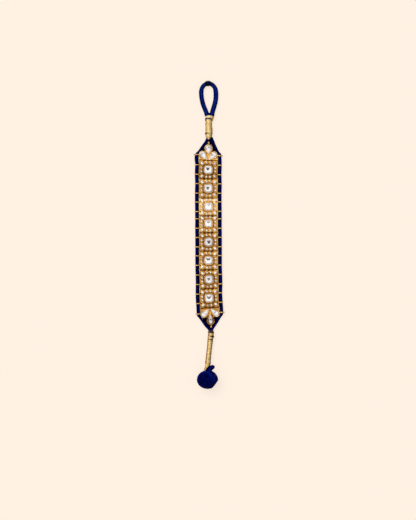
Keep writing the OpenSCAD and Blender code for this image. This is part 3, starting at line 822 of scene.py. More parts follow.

# %% [markdown]
# ## Gold foil
#
# Kundan settings are built of very pure gold, beaten into foil and pushed down round each
# stone with a burnisher. The surface is soft: rims are rounded, flats are never quite flat, and
# the hollows between the rims are deep. The tone of each point says how proud it stands above
# what is round it, so crests come out pale as painted highlight and hollows deep brown as painted
# shade. The same tone would come from a baked cavity map, but worked out here it needs no image.

# %% The foil's material
gold_foil, foil_shader = new_material("gold_foil", Metallic=0.95, Specular_IOR_Level=0.3)
toned_colour(gold_foil, foil_shader, [
    (0.0, (0.06, 0.022, 0.004)), (0.28, (0.26, 0.1, 0.016)), (0.5, (0.55, 0.27, 0.05)),
    (0.74, (0.82, 0.49, 0.14)), (1.0, (1.0, 0.83, 0.48))], 0.3, 0.7)
rough_noise(gold_foil, foil_shader, 0.26, 0.46, 0.5)
fine_bump(gold_foil, foil_shader, 0.16, 0.02)
print("foil material:", gold_foil.name)

# %% [markdown]
# ## Distances to a stone's edge
#
# A bezel follows its stone, so the relief of a plaque is easiest to say in terms of one
# number: how far a point is outside the stone. Each outline has a short formula for that
# distance. It is negative inside the stone.

# %% Distance formulas
BLEND = 0.25


def soft_max(a, b):
    """The larger of two numbers, rounded off where they are nearly the same."""
    near = np.clip(BLEND - np.abs(a - b), 0, None)/BLEND
    return np.maximum(a, b) + near*near*BLEND/4


def to_cushion(x, y, half_w, half_h, cut):
    """Distance from a rectangle with cut corners."""
    flat = np.maximum(np.abs(x) - half_w, np.abs(y) - half_h)
    slant = (np.abs(x) + np.abs(y) - (half_w + half_h - cut))/np.sqrt(2)
    return soft_max(flat, slant)


def to_oval(x, y, half_w, half_h):
    return (np.sqrt((x/half_w)**2 + (y/half_h)**2) - 1)*(half_w + half_h)/2


def to_drop(x, y, r, reach):
    """Distance from a drop: a round end at the middle and a point at (0, reach)."""
    x = np.abs(x)
    sine = r/reach
    cosine = np.sqrt(1 - sine*sine)
    along = -sine*x + cosine*y
    flank = cosine*x + sine*y - r
    past_point = np.where(along > cosine*reach, np.hypot(x, y - reach), flank)
    return np.where(along < 0, np.hypot(x, y) - r, past_point)


def to_box(x, y, left, right, low, high, r):
    """Distance from a rectangle with round corners."""
    far_x = np.abs(x - (left + right)/2) - (right - left)/2 + r
    far_y = np.abs(y - (low + high)/2) - (high - low)/2 + r
    outside = np.hypot(np.clip(far_x, 0, None), np.clip(far_y, 0, None))
    return outside + np.minimum(np.maximum(far_x, far_y), 0) - r


def turned(x, y, place):
    """Coordinates about a place that holds x, y and a turn in degrees."""
    return spun(x - place[0], y - place[1], -place[2])


# %% [markdown]
# ## A pressed skin
#
# A fine grid is cut to the plaque's outline, its edge is drawn onto the outline exactly, and
# every point is lifted to the relief. Then the edge is turned down to make the sides and
# closed at the back. A displacement texture could lift a grid too, but this way the rim is
# clean and the piece is a closed body.

# %% Smooth a field
def blurred(field, width):
    """The field, smoothed over this many cells."""
    reach = int(3*width) + 1
    weights = np.exp(-0.5*(np.arange(-reach, reach + 1)/width)**2)
    weights /= weights.sum()
    field = np.pad(field, reach, mode="edge")
    for axis in (0, 1):
        field = np.apply_along_axis(lambda line: np.convolve(line, weights, mode="valid"), axis, field)
    return field


# %% Cut, lift and close a grid
def pressed_skin(outline, relief, box, step, sides, brighter=0.0):
    """Points, faces and tones of a foil skin. sides are rows of height and inset, downwards.

    relief gives the height at each point and how much lighter or darker it is than its height
    says, as painted light and shade.
    """
    x = np.arange(box[0] - step, box[1] + 2*step, step)
    y = np.arange(box[2] - step, box[3] + 2*step, step)
    grid_x, grid_y = np.meshgrid(x, y, indexing="ij")
    lift, shade = relief(grid_x, grid_y)
    # How proud each point is of what is close to it, and of what is further round it. The tone
    # turns it into painted light on the crests and painted shade in the hollows.
    proud = 0.8*(lift - blurred(lift, 0.22/step)) + 0.46*(lift - blurred(lift, 0.8/step))
    tone = 0.52 + proud + shade + brighter
    kept = outline(grid_x[:-1, :-1] + step/2, grid_y[:-1, :-1] + step/2) < 0
    number = np.arange(grid_x.size).reshape(grid_x.shape)
    corners = [number[:-1, :-1], number[1:, :-1], number[1:, 1:], number[:-1, 1:]]
    quads = np.stack([c[kept] for c in corners], -1)
    starts = quads.ravel()
    ends = np.roll(quads, -1, axis=1).ravel()
    total = grid_x.size
    # An edge of the rim is one that no second quad shares
    lone = ~np.isin(starts*total + ends, ends*total + starts)
    after = dict(zip(starts[lone].tolist(), ends[lone].tolist()))
    rim = [next(iter(after))]
    while after[rim[-1]] != rim[0]:
        rim.append(after[rim[-1]])
    rim = np.array(rim)
    flat_x, flat_y = grid_x.ravel(), grid_y.ravel()
    nudge = 0.01
    # Each step moves the rim down the slope of the distance, onto the outline
    for _ in range(3):
        rx, ry = flat_x[rim], flat_y[rim]
        off = outline(rx, ry)
        slope_x = (outline(rx + nudge, ry) - outline(rx - nudge, ry))/(2*nudge)
        slope_y = (outline(rx, ry + nudge) - outline(rx, ry - nudge))/(2*nudge)
        steep = np.maximum(slope_x**2 + slope_y**2, 0.2)
        flat_x[rim], flat_y[rim] = rx - off*slope_x/steep, ry - off*slope_y/steep
    height = relief(flat_x, flat_y)[0]
    rx, ry = flat_x[rim], flat_y[rim]
    out = unit(np.column_stack([np.roll(ry, -1) - np.roll(ry, 1), np.roll(rx, 1) - np.roll(rx, -1)]))
    used, slot_of = np.unique(quads, return_inverse=True)
    points = [np.column_stack([flat_x[used], flat_y[used], height[used]])]
    tones = [tone.ravel()[used]]
    faces = [slot_of.reshape(-1, 4)]
    above = np.searchsorted(used, rim)
    count, n = len(used), len(rim)
    for level, inset, shade in sides:
        points.append(np.column_stack([rx - out[:, 0]*inset, ry - out[:, 1]*inset, np.full(n, level)]))
        tones.append(np.full(n, shade + brighter))
        below = count + np.arange(n)
        faces.append(np.column_stack([np.roll(above, -1), above, below, np.roll(below, -1)]))
        above, count = below, count + n
    faces.append(above[None, ::-1])
    return np.vstack(points), faces, np.concatenate(tones)


# %% [markdown]
# ## The plaques
#
# All eight plaques share one design. A middle stone sits in a tall eight-sided collet. Two
# small round stones stand on each side of it, and a drop in each corner points outwards. The
# long edges carry a plain strip between the rings, the short edges are scalloped, and small
# pits with painted shade in them mark the ring roots. The relief is the highest of all these rims at each
# point.

# %% The plaque's design
# The plate: its width, its height, and how round its corners are
PLAQUE_W, PLATE, EDGE_R = 12.3, 2.4, 0.5
# The small stones: how far out their rows are, their margin to the edge, and their places and sizes
ROW_REACH, ROW_MARGIN, ROW_X = 4.4, 0.95, 1.15
SMALL_W, SMALL_L, CORNER_R, CORNER_X, CORNER_DROP = 1.15, 1.4, 0.82, 3.95, 0.45
# The scallops of the short edges
LOBE_R, LOBE_DEPTH, CORNER_LOBE_X = 1.15, 0.45, 3.05
# How high the bezels rise, how wide they are, and where the stones sit
BEZEL_H, SMALL_WALL, CORNER_WALL, SEAT = 0.42, 0.36, 0.34, 2.0
# Each middle stone: half width, half height, cut of its corners
MIDDLE_STONES = [
    [2.57, 2.5, 1.05], [2.55, 2.55, 1.05], [2.42, 2.37, 0.8], [2.32, 2.12, 0.5],
    [2.57, 2.6, 1.1], [2.54, 2.49, 1.15], [2.57, 2.6, 1.15], [2.5, 2.5, 0.9]]


def row_y(reach):
    return min(ROW_REACH, reach - ROW_MARGIN)


def small_places(up, down):
    """The eight small round stones: x, y, turn."""
    rows = [(x, y, 0) for x in (-ROW_X, ROW_X) for y in (row_y(up), -row_y(down))]
    return rows + [(x, y, 90) for x in (-ROW_REACH, ROW_REACH) for y in (-ROW_X, ROW_X)]


def corner_places(up, down):
    """The four corner drops: x, y, turn."""
    high, low = row_y(up) - CORNER_DROP, CORNER_DROP - row_y(down)
    return [(-CORNER_X, high, 45), (CORNER_X, high, -45), (-CORNER_X, low, 135), (CORNER_X, low, -135)]


# %% The plaque's edges
# A low web reaches a little past each short edge, and further where an end piece follows
WEBS = {number: (0.4 if number == 1 else 0.06, 0.35 if number == 8 else 0.06) for number in range(1, 9)}


def plaque_outline(x, y, number):
    """Distance from a plaque's edge, with its low web."""
    up, down = PLAQUES[number - 1][2:4]
    reach = np.where(y > 0, up + WEBS[number][0], down + WEBS[number][1])
    return to_box(np.abs(x), np.abs(y), -10, PLAQUE_W/2, -10, reach, EDGE_R)


def scallops(x, y, up, down):
    """Distance from the raised part of a plaque, whose short edges are scalloped."""
    reach = np.where(y > 0, up, down)
    half = PLAQUE_W/2
    x, y = np.abs(x), np.abs(y)
    body = to_box(x, y, -half, half, -10, reach - LOBE_DEPTH, 0.05)
    corner = to_box(x, y, CORNER_LOBE_X, half, -10, reach, EDGE_R)
    lobe = np.hypot(x - ROW_X, y - (reach - LOBE_R)) - LOBE_R
    return np.minimum(np.minimum(body, corner), lobe)


# %% Rims, seats and hems
def ridge(distance, half):
    """A rounded ridge, 1 on its crest and 0 at this distance to either side."""
    return np.clip(1 - (distance/half)**2, 0, 1)**0.7


def to_segment(x, y, a, b):
    """Distance from the line between two points."""
    a, b = np.array(a, float), np.array(b, float)
    share = np.clip(((x - a[0])*(b - a)[0] + (y - a[1])*(b - a)[1])/((b - a) @ (b - a)), 0, 1)
    return np.hypot(x - a[0] - share*(b - a)[0], y - a[1] - share*(b - a)[1])


def seated(lift, distance, seat):
    """Sinks the seat under a stone, with a short slope at its edge."""
    return seat + (lift - seat)*np.clip(1 + distance/0.14, 0, 1)


def bezel(lift, distance, wall):
    """Raises a rim of this width round a small stone and sinks the seat inside it."""
    rim = PLATE - 0.05 + (BEZEL_H + 0.05)*ridge(distance - wall/2, wall/2)
    lift = np.maximum(lift, np.where(distance < 2*wall, rim, 0))
    return seated(lift, distance, SEAT)


def stone_edge_shade(distance, depth):
    """Painted shade close to a stone's edge, where foil and stone meet."""
    return depth*fade(distance - 0.03, 0.13)


# %% The relief of a plaque
# How high the collet's rim stands above the plate at these distances from the stone
COLLET_OUT = [-0.02, 0.0, 0.1, 0.3, 0.42, 0.78, 0.9]
COLLET_RISE = [0.1, 0.1, 0.55, 0.9, 0.86, 0.16, 0.0]
WEB_Z = 1.8


def plaque_relief(x, y, number):
    """Height of a plaque's face above its back, and its extra shade."""
    _, _, up, down, _, slope = PLAQUES[number - 1]
    half_w, half_h, cut = MIDDLE_STONES[number - 1]
    ax, ay = np.abs(x), np.abs(y)
    reach = np.where(y > 0, up, down)
    # A face that is never quite flat, with painted shade at its edges and painted light that changes along
    # it by the plaque's slope
    ripple = 1.7*number
    lift = PLATE - 0.06 + 0.035*np.sin(x*1.9 + ripple)*np.sin(y*2.3 + 2*ripple)
    lift += 0.02*np.sin(x*5.1 + y*3.7 + ripple)
    shade = slope*y/reach - 0.3*fade(reach - ay, 0.3) - 0.2*fade(PLAQUE_W/2 - ax, 0.2)
    # Strips along the long edges, ribs from the collet, and hollows at the corners with painted shade in
    # them
    for held in (ay < RING_Y - 0.45, ay > RING_Y + 0.5):
        lift = np.maximum(lift, PLATE + 0.14*ridge(ax - PLAQUE_W/2 + 0.42, 0.24)*held)
    for a, b in (((2.75, 2.05), (5.0, 2.55)), ((2.05, 2.75), (2.45, 4.4))):
        lift = np.maximum(lift, PLATE + 0.2*ridge(to_segment(ax, ay, a, b), 0.26))
    hollow = fade(np.hypot(ax - 2.68, ay - (reach - 0.6)), 0.45)
    lift = lift - 0.3*hollow - 0.25*fade(to_segment(ax, ay, (3.05, 3.05), (2.75, 2.75)), 0.3)
    shade = shade - 0.08*hollow
    # The small stones' bezels
    bezels = [(to_oval(*turned(x, y, place), SMALL_W/2, SMALL_L/2), SMALL_WALL)
              for place in small_places(up, down)]
    bezels += [(to_drop(*turned(x, y, place), CORNER_R, 2*CORNER_R), CORNER_WALL)
               for place in corner_places(up, down)]
    for away, wall in bezels:
        lift = bezel(lift, away, wall)
        shade = shade - stone_edge_shade(away, 0.27)
    # The middle stone's collet, with painted shade along the stone's edge, over its crest and at its foot,
    # darkest at its cut corners
    away = to_cushion(x, y, half_w, half_h, cut)
    rim = PLATE + np.interp(away, COLLET_OUT, COLLET_RISE)
    lift = seated(np.maximum(lift, np.where(away < 0.95, rim, 0)), away, SEAT)
    corner = np.clip((ax + ay - (half_w + half_h - cut) + 0.1)/0.8, 0, 1)
    shade = shade - stone_edge_shade(away, 0.34)*(1 + 0.6*corner) - 0.26*fade(away - 0.3, 0.26)
    shade = shade - (0.1 + 0.12*corner)*fade(away - 0.95, 0.22)
    # The pits at the ring roots with painted shade in them, the rounded rim, and the web beyond it
    pit = np.clip(1.35 - np.hypot(ax - PLAQUE_W/2 + 0.74, ay - RING_Y)/0.34, 0, 1)
    raised = scallops(x, y, up, down)
    rim = np.clip(1 + raised/0.3, 0, 1)
    lift = lift - 0.75*pit - 0.3*(1 - np.sqrt(1 - rim**2))
    web = np.clip(raised/0.2, 0, 1)
    return lift*(1 - web) + WEB_Z*web, shade - 0.15*pit + 0.02*web


# %% [markdown]
# ## The rings on the plaques' edges
#
# Four small bands on each plaque hold the skeins. A band is a ring of flat wire with soft
# edges, standing square to the skein, and a short tongue joins it to the plaque.

# %% Bands and tongues
RING_BORE, RING_WALL, RING_W = 2.3, 0.3, 0.52


def ring_band(middle, axis, inner_r, wall, width, tone=0.76, rounds=36):
    """A band round an axis in the plane of the table."""
    axis = unit(np.array([*axis, 0.0]))
    level = np.cross(UP, axis)
    angle = np.linspace(0, 2*np.pi, rounds, endpoint=False)[:, None]
    out = level*np.cos(angle) + UP*np.sin(angle)
    line = np.array(middle) + out*(inner_r + wall/2)
    return tube(line, out, width/2*1.06, wall/2*1.15, 10, closed=True, tone=tone)


def bar(a, b, half_w, half_h, tone=0.7, steps=8):
    """A short round-ended bar."""
    t = np.linspace(0, 1, steps)
    end = np.sqrt(np.clip(1 - (2*t - 1)**8, 0.05, 1))
    line = np.array(a)*(1 - t[:, None]) + np.array(b)*t[:, None]
    return tube(line, UP, half_w*end, half_h*end, 10, tone=tone)


def ring_parts(number):
    parts = []
    ring_z = RING_BORE/2 + RING_WALL
    turn = np.radians(PLAQUES[number - 1][0])
    axis = (-np.sin(turn), np.cos(turn))
    for side in (-1, 1):
        for y in (RING_Y, -RING_Y):
            centre = on_plaque(number, side*CORD_X, y)
            parts.append(ring_band([*centre, ring_z], axis, RING_BORE/2, RING_WALL, RING_W))
            root, rise = (on_plaque(number, side*far, y) for far in (PLAQUE_W/2 - 0.5, CORD_X - 1.05))
            parts.append(bar([*root, 1.5], [*rise, 1.5], 0.24, 0.5))
            top = on_plaque(number, side*(CORD_X - 0.45), y)
            parts.append(bar([*root, 2.1], [*top, 2.72], 0.26, 0.16, 0.88))
    return parts


# %% Press the eight plaques
STEP = 0.09
# Rows down a plaque's sides: height, inset, tone, kept dark as painted shade
SIDES = [(1.5, -0.02, 0.12), (1.2, -0.03, 0.04), (0.35, -0.02, 0.0), (0.06, 0.08, 0.0), (0.0, 0.2, 0.0)]
STONE_MID_Z = 2.52


def moved(points, place):
    """Points brought from a place's own coordinates. A place holds x, y and a turn in degrees."""
    x, y, z = points.T
    dx, dy = spun(x, y, place[2])
    return np.column_stack([place[0] + dx, place[1] + dy, z])


def placed(points, number):
    """Moves points from a plaque's own frame to its place: tilt, turn, then shift."""
    turn, tilt, up, down = PLAQUES[number - 1][:4]
    sine = np.sin(np.radians(tilt))
    x, y, z = points.T
    y, z = spun(y, z, tilt)
    px, py = on_plaque(number, 0, 0)
    # The stone's middle is above the plaque's, so a tilt has moved it a little along the bracelet
    place = (px, py + sine*STONE_MID_Z, turn)
    return moved(np.column_stack([x, y, z + max(up, down)*abs(sine)]), place)


for number, (_, _, up, down, brighter, _) in enumerate(PLAQUES, 1):
    skin = pressed_skin(
        lambda x, y: plaque_outline(x, y, number),
        lambda x, y: plaque_relief(x, y, number),
        (-PLAQUE_W/2, PLAQUE_W/2, -down - WEBS[number][1], up + WEBS[number][0]),
        STEP, SIDES, brighter)
    parts = [(placed(skin[0], number), skin[1], skin[2])] + ring_parts(number)
    new_piece(f"plaque_foil_{number}", parts, gold_foil, [f"plaque_{number}"])


# %% [markdown]
# ## The stones
#
# The stones are flat-cut and backed with foil, so they look white or grey rather than clear.
# Each facet takes its own tone, a painted reflection, and in the middle stones a dark V is painted
# on the table as the reflection of back facets that turn away from the light. Clear glass over
# foil would give this too, but at a far greater cost in light paths, and the pattern would be left
# to chance. Every stone is one closed body: a back, a girdle, a crown of kites and stars, and a flat table.

# %% The stone's material
cut_glass, glass_shader = new_material("cut_glass", Roughness=0.1, Specular_IOR_Level=0.4,
    Coat_Weight=0.35, Coat_Roughness=0.03)
toned_colour(cut_glass, glass_shader, [
    (0.0, (0.085, 0.05, 0.045)), (0.35, (0.3, 0.245, 0.23)), (0.7, (0.7, 0.655, 0.64)),
    (1.0, (1.0, 0.99, 0.98))], 0.08, 0.5)
fine_bump(cut_glass, glass_shader, 0.9, 0.012)
print("stone material:", cut_glass.name)


# %% A faceted stone
def finer(outline, pieces):
    """An outline with each side cut into this many pieces."""
    outline = np.array(outline, float)
    after = np.roll(outline, -1, axis=0)
    return np.vstack([[a + (b - a)*k/pieces for k in range(pieces)] for a, b in zip(outline, after)])


def stone_cut(outline, low, girdle, high, table, tone_of, fine=1, rings_in=3):
    """A faceted stone: heights of its back, girdle and table, and the table's share of its width.

    tone_of gives a facet's tone from its middle and its kind. The table is cut into more faces
    than it needs, fine to a side and in rings_in rings, so that it can hold a soft painted reflection.
    """
    outline = np.array(outline, float)
    n = len(outline)
    mid = (outline + np.roll(outline, -1, axis=0))/2
    edge = finer(outline*table, fine)
    m = len(edge)
    rings = [
        (outline*0.72, low), (outline, girdle - 0.15*(high - low)), (outline, girdle),
        (mid*(1 + table)/2*1.06, girdle + 0.55*(high - girdle))]
    rings += [(edge*share, high) for share in np.linspace(1, 0, rings_in + 1)[:-1]]
    rings.append((edge[:1]*0, high))
    points = np.vstack([np.column_stack([xy, np.full(len(xy), z)]) for xy, z in rings])
    k, after = np.arange(n), (np.arange(n) + 1) % n
    j, j_after = np.arange(m), (np.arange(m) + 1) % m
    star = [3*n + k] + [4*n + (k*fine + step) % m for step in range(fine, -1, -1)]
    groups = [
        ("back", k[None, ::-1]), ("side", np.column_stack([k, after, n + after, n + k])),
        ("side", np.column_stack([n + k, n + after, 2*n + after, 2*n + k])),
        ("girdle", np.column_stack([2*n + k, 2*n + after, 3*n + k])),
        ("kite", np.column_stack([2*n + k, 3*n + k, 4*n + k*fine, 3*n + (k - 1) % n])),
        ("star", np.column_stack(star))]
    for ring in range(rings_in - 1):
        first = 4*n + ring*m
        across = [first + j, first + j_after, first + m + j_after, first + m + j]
        groups.append(("table", np.column_stack(across)))
    first = 4*n + (rings_in - 1)*m
    groups.append(("table", np.column_stack([first + j, first + j_after, np.full(m, first + m)])))
    tones = []
    for kind, group in groups:
        for face in group:
            if kind == "table":
                tones += [tone_of(points[c, 0], points[c, 1], kind) for c in face]
            else:
                x, y = points[face, :2].mean(axis=0)
                tones += [tone_of(x, y, kind)]*len(face)
    return points, [group for _, group in groups], np.array(tones)


def new_stones(name, parts, node):
    new_piece(name, parts, cut_glass, [node], smooth=False)


# %% Cut the middle stones
def cushion(w, h, cut):
    """A rectangle with cut corners, from its half width and half height."""
    return [[w, cut - h], [w, h - cut], [w - cut, h], [cut - w, h],
            [-w, h - cut], [-w, cut - h], [cut - w, -h], [w - cut, -h]]


# Each middle stone's painted dark reflection, a triangle that points down: its middle, half its
# width, its top, its point, how dark it is, how open its upper part is, and how light the stone round it is
TABLE_REFLECTIONS = [
    [-0.32, 1.3, 1.4, -0.4, 0.95, 0, 0.97], [-0.4, 1.2, 1.05, -0.75, 0.82, 0, 0.92],
    [0.15, 1.3, 1.55, 0.5, 0.45, 0, 0.97], [0.0, 1.4, 1.35, 0.25, 0.6, 0, 0.98],
    [0.15, 1.3, 1.0, -1.0, 0.8, 0.2, 0.8], [-0.15, 1.8, 1.55, 0.0, 0.88, 0.5, 0.98],
    [-0.15, 1.15, 1.05, -0.6, 0.62, 0, 0.84], [-0.1, 1.7, 1.5, -0.4, 0.9, 0.75, 0.97]]


def middle_tone(dark_reflection, seed):
    """A pale stone with its painted dark reflection, and a painted white highlight low in a greyer
    stone. The facets' own tones are painted reflections too.
    """
    middle, half, top, point, depth, hollow, base = dark_reflection
    rng = np.random.default_rng(seed)

    def tone(x, y, kind):
        share = np.clip((y - point)/(top - point), 0, 1)
        wide = half*(0.4 + 0.6*share)
        filled = np.clip((wide - abs(x - middle))/0.35 + 0.5, 0, 1)
        filled *= np.clip((top - y)/0.35 + 0.5, 0, 1)*np.clip((y - point)/0.35 + 0.5, 0, 1)
        opened = hollow*np.clip((half*(share - 0.45) - abs(x - middle))/0.4 + 0.5, 0, 1)
        dark = depth*filled*(1 - opened)*(1 - 0.35*np.clip((abs(x - middle) - 0.7)/0.5, 0, 1))
        glint = 0.35*(base < 0.85)*np.exp(-(x/0.7)**2 - ((y + 1.7)/0.45)**2)
        if kind == "table":
            return base - dark + glint
        return base - 0.07 - 0.7*dark + glint + rng.uniform(-0.2, 0.08)

    return tone


# Heights of a middle stone's back, girdle and table, and the table's share of its width
MIDDLE_CUT = (1.52, 2.6, 3.45, 0.66)
for number in range(1, 9):
    tone = middle_tone(TABLE_REFLECTIONS[number - 1], 70 + number)
    points, faces, tones = stone_cut(cushion(*MIDDLE_STONES[number - 1]), *MIDDLE_CUT, tone, 4, 12)
    new_stones(f"middle_stone_{number}", [(placed(points, number), faces, tones)], f"centre_stone_{number}")

# %% How light each small stone is
# Upper and lower left, upper and lower right of the short rows, then the long rows in the same
# order from below, then the corners
SMALL_TONES = [
    [0.62, 0.8, 0.6, 0.95, 0.78, 0.62, 0.75, 0.8, 1, 0.6, 0.75, 0.6],
    [0.8, 0.65, 0.6, 0.88, 0.72, 0.7, 0.82, 0.68, 0.85, 0.88, 0.7, 0.75],
    [0.85, 0.72, 0.88, 0.8, 0.8, 0.85, 0.85, 0.6, 0.95, 1, 0.8, 0.95],
    [0.5, 0.85, 0.6, 0.9, 0.7, 0.78, 0.72, 0.82, 1, 1, 0.85, 0.8],
    [0.75, 0.7, 0.7, 0.75, 0.72, 0.8, 0.78, 0.9, 0.8, 0.9, 0.72, 1],
    [0.5, 0.85, 0.75, 0.5, 0.7, 0.5, 0.72, 0.8, 0.9, 0.95, 0.85, 0.85],
    [0.68, 0.55, 0.92, 0.78, 0.92, 0.78, 0.75, 0.7, 1, 1, 0.82, 0.82],
    [0.82, 0.5, 0.78, 0.8, 0.92, 0.82, 0.75, 0.68, 1, 0.85, 0.72, 0.85]]


def oval(w, h, n=8):
    """An oval with n corners."""
    turn = np.arange(n)*2*np.pi/n
    return np.column_stack([w/2*np.cos(turn), h/2*np.sin(turn)])


def drop(r, reach, n=9, bulge=0.0):
    """A drop with its round end at the middle. bulge rounds its two flanks outwards."""
    spread = np.arccos(r/reach)
    turn = np.pi/2 + np.linspace(spread, 2*np.pi - spread, n)
    rows = np.vstack([r*np.column_stack([np.cos(turn), np.sin(turn)]), [[0, reach]]])
    if bulge:
        out = np.array([np.cos(np.pi/2 - spread), np.sin(np.pi/2 - spread)])
        flank = (rows[-2] + rows[-1])/2 + bulge*out
        rows = np.vstack([flank*[-1, 1], rows[:-1], flank, rows[-1:]])
        rows = np.roll(rows, -1, axis=0)
    return rows


# %% Cut the small stones
SMALL_BACK, SMALL_GIRDLE, SMALL_TOP, CORNER_TOP, SMALL_TABLE = 1.62, 2.43, 2.97, 3.07, 0.62
rng = np.random.default_rng(90)
for number, (_, _, up, down, _, _) in enumerate(PLAQUES, 1):
    parts = []
    for place, light in zip(small_places(up, down) + corner_places(up, down), SMALL_TONES[number - 1]):
        is_corner = place[2] % 90 != 0
        outline = drop(CORNER_R, 2*CORNER_R - 0.05, 7) if is_corner else oval(SMALL_W, SMALL_L)
        top = CORNER_TOP if is_corner else SMALL_TOP

        def tone(x, y, kind):
            # The table is a painted highlight, lighter than the other facets, and each facet's random shift
            # is a painted reflection
            return light + (0.2 if kind == "table" else 0.06) + rng.uniform(-0.12, 0.06)

        points, faces, tones = stone_cut(outline, SMALL_BACK, SMALL_GIRDLE, top, SMALL_TABLE, tone)
        parts.append((placed(moved(points, place), number), faces, tones))
    new_stones(f"small_stones_{number}", parts, f"accent_stones_{number}")

# %% [markdown]
# ## The end pieces
#
# Each end piece holds three drops like a small flower: two lie along its straight edge and one
# points away from the bracelet. Their bezels are broad and round. A bar at each side carries
# the skein and ends in a small flared tip, and a ring stands on edge beyond the last stone.

# %% The end pieces' design
END_W, TIP_WALL, SIDE_WALL, BAR_Y = 12.2, 0.95, 0.74, 3.1
# x, y, turn, then in the piece's own frame: side stones' round end, their point, their radius,
# and the tip stone's round end, its point and its radius
ENDS = {
    "top": [-0.35, 40.65, -3, (3.66, 3.5), (0.8, 0.5), 1.6, 7.44, 4.29, 1.83],
    "bottom": [0.82, -54.3, 184, (3.88, 3.6), (0.73, 0.6), 1.62, 8.12, 4.1, 1.72]}
# How far each straight base reaches on, in the shade, towards its plaque
BASE_LIP = {"top": 0.1, "bottom": 0.3}


def stone_places(end):
    """The three drops of an end piece: x, y, turn, radius and reach."""
    _, _, _, side, point, side_r, tip_y, tip_point, tip_r = ENDS[end]
    reach = np.hypot(point[0] - side[0], point[1] - side[1])
    places = []
    for x in (-1, 1):
        turn = -np.degrees(np.arctan2(x*(point[0] - side[0]), point[1] - side[1]))
        places.append((x*side[0], side[1], turn, side_r, reach))
    return places + [(0, tip_y, 180, tip_r, tip_y - tip_point)]


def tip_end(end):
    """How far out the bezel of an end piece's tip stone reaches."""
    return ENDS[end][6] + ENDS[end][8] + TIP_WALL


def end_outline(x, y, end, shrink=0.0):
    """Distance from an end piece's edge: its straight base, its waist and three lobes."""
    base = to_box(x, y, -END_W/2, END_W/2, -BASE_LIP[end], 3.4, 0.3)
    shape = np.minimum(base, to_box(x, y, -2.6, 2.6, 1.5, 6.1, 0.4))
    for place in stone_places(end):
        wall = TIP_WALL if place[2] == 180 else SIDE_WALL
        lobe = to_drop(*turned(x, y, place), place[3] + wall, place[4] + 0.4)
        shape = np.minimum(shape, lobe)
    return shape + shrink


# %% The relief of an end piece
# Height of its bezels at these distances from a stone
BEZEL_OUT, BEZEL_RISE = [0.0, 0.12, 0.36, 0.55, 0.75], [0.12, 0.38, 0.52, 0.36, 0.0]


def end_relief(x, y, end):
    """Height of an end piece's face above its back, and its extra shade."""
    lift = np.full(np.shape(x), PLATE - 0.05) + 0.03*np.sin(x*2.1)*np.sin(y*1.7)
    # Painted light between the two side stones, and painted shade on the base lip towards the plaque
    shade = 0.12*fade(x, 1.1)*(y < 4) - 0.4*fade(y + BASE_LIP[end], 0.15 + BASE_LIP[end])
    for place in stone_places(end):
        away = to_drop(*turned(x, y, place), place[3], place[4])
        rim = PLATE + np.interp(away, BEZEL_OUT, BEZEL_RISE)
        lift = seated(np.maximum(lift, np.where(away < 0.8, rim, 0)), away, 2.2)
        shade = shade - stone_edge_shade(away - 0.05, 0.3)
        # A painted dark reflection on the bezel round the bottom tip stone
        if end == "bottom" and place[2] == 180:
            shade = shade - 0.32*(away < 1.1)*np.clip((y - 4)/1.5, 0, 1)
    edge = -end_outline(x, y, end)
    rim = np.clip(1 - edge/0.42, 0, 1)
    lift = lift + 0.1*ridge(edge - 0.5, 0.22)
    return lift - 0.42*(1 - np.sqrt(1 - rim**2)), shade


# %% Side bars and tip rings
EYE_R, EYE_WIRE_R, EYE_LEAN = 0.82, 0.28, 72


def end_fittings(end):
    """The two side bars with their flared tips, and the ring beyond the tip stone."""
    parts = []
    for x in (-1, 1):
        parts.append(ring_band([x*CORD_X, BAR_Y, 1.65], [0.0, 1.0], 1.25, 0.4, 0.7, 0.62, 40))
        parts.append(bar([x*5.4, BAR_Y, 1.6], [x*6.45, BAR_Y, 1.6], 0.32, 0.62))
        parts.append(bar([x*5.5, BAR_Y, 2.45], [x*7.3, BAR_Y, 3.05], 0.32, 0.2, 0.88))
        t = np.linspace(0, 1, 9)
        line = np.column_stack([x*(8.85 + 0.38*t), np.full(9, BAR_Y), 1.75 + 0*t])
        flare = np.interp(t, [0, 0.25, 0.7, 0.9, 1], [0.28, 0.28, 0.48, 0.5, 0.36])
        darker = np.interp(t, [0, 0.4, 1], [0.6, 0.4, 0.1])
        parts.append(tube(line, UP, flare, flare, 16, tone=darker))
    eye_y = tip_end(end) + EYE_R
    angle = np.linspace(0, 2*np.pi, 40, endpoint=False)[:, None]
    lean = np.radians(EYE_LEAN)
    flat = np.array([np.cos(lean), 0, -np.sin(lean)])
    out = flat*np.cos(angle) + np.array([0, 1.0, 0])*np.sin(angle)
    eye = np.array([0, eye_y, 2.0]) + EYE_R*out
    parts.append(tube(eye, out, EYE_WIRE_R, EYE_WIRE_R, 12, closed=True, tone=0.8))
    parts.append(bar([0, eye_y - 1.5, 2.1], [0, eye_y - 0.7, 2.05], 0.32, 0.3, 0.7))
    return parts


# %% The tones of the six drops
# Painted grey reflections of the six drops, in a stone's own frame: x, y, size, depth
DROP_REFLECTIONS = {
    "top left": [[0.06, -0.42, 0.55, 0.6], [0.95, -0.2, 0.5, 0.45]],
    "top right": [[0.69, 0.73, 0.5, 0.8], [-0.5, 0.2, 0.4, 0.35]],
    "top tip": [[-0.1, -0.6, 0.55, 0.8], [-1.3, -0.3, 0.45, 0.65], [1.2, 0.2, 0.45, 0.4]],
    "bottom left": [[-1.1, 0.75, 0.45, 0.65], [0.8, 0.73, 0.45, 0.5], [-0.2, 0.3, 0.35, 0.35]],
    "bottom right": [[-0.56, 1.06, 0.45, 0.65], [0.2, 1.05, 0.35, 0.5], [0.6, 1.1, 0.35, 0.6]],
    "bottom tip": [[-0.03, 0.75, 0.45, 0.95], [-0.03, 1.4, 0.4, 0.5]]}


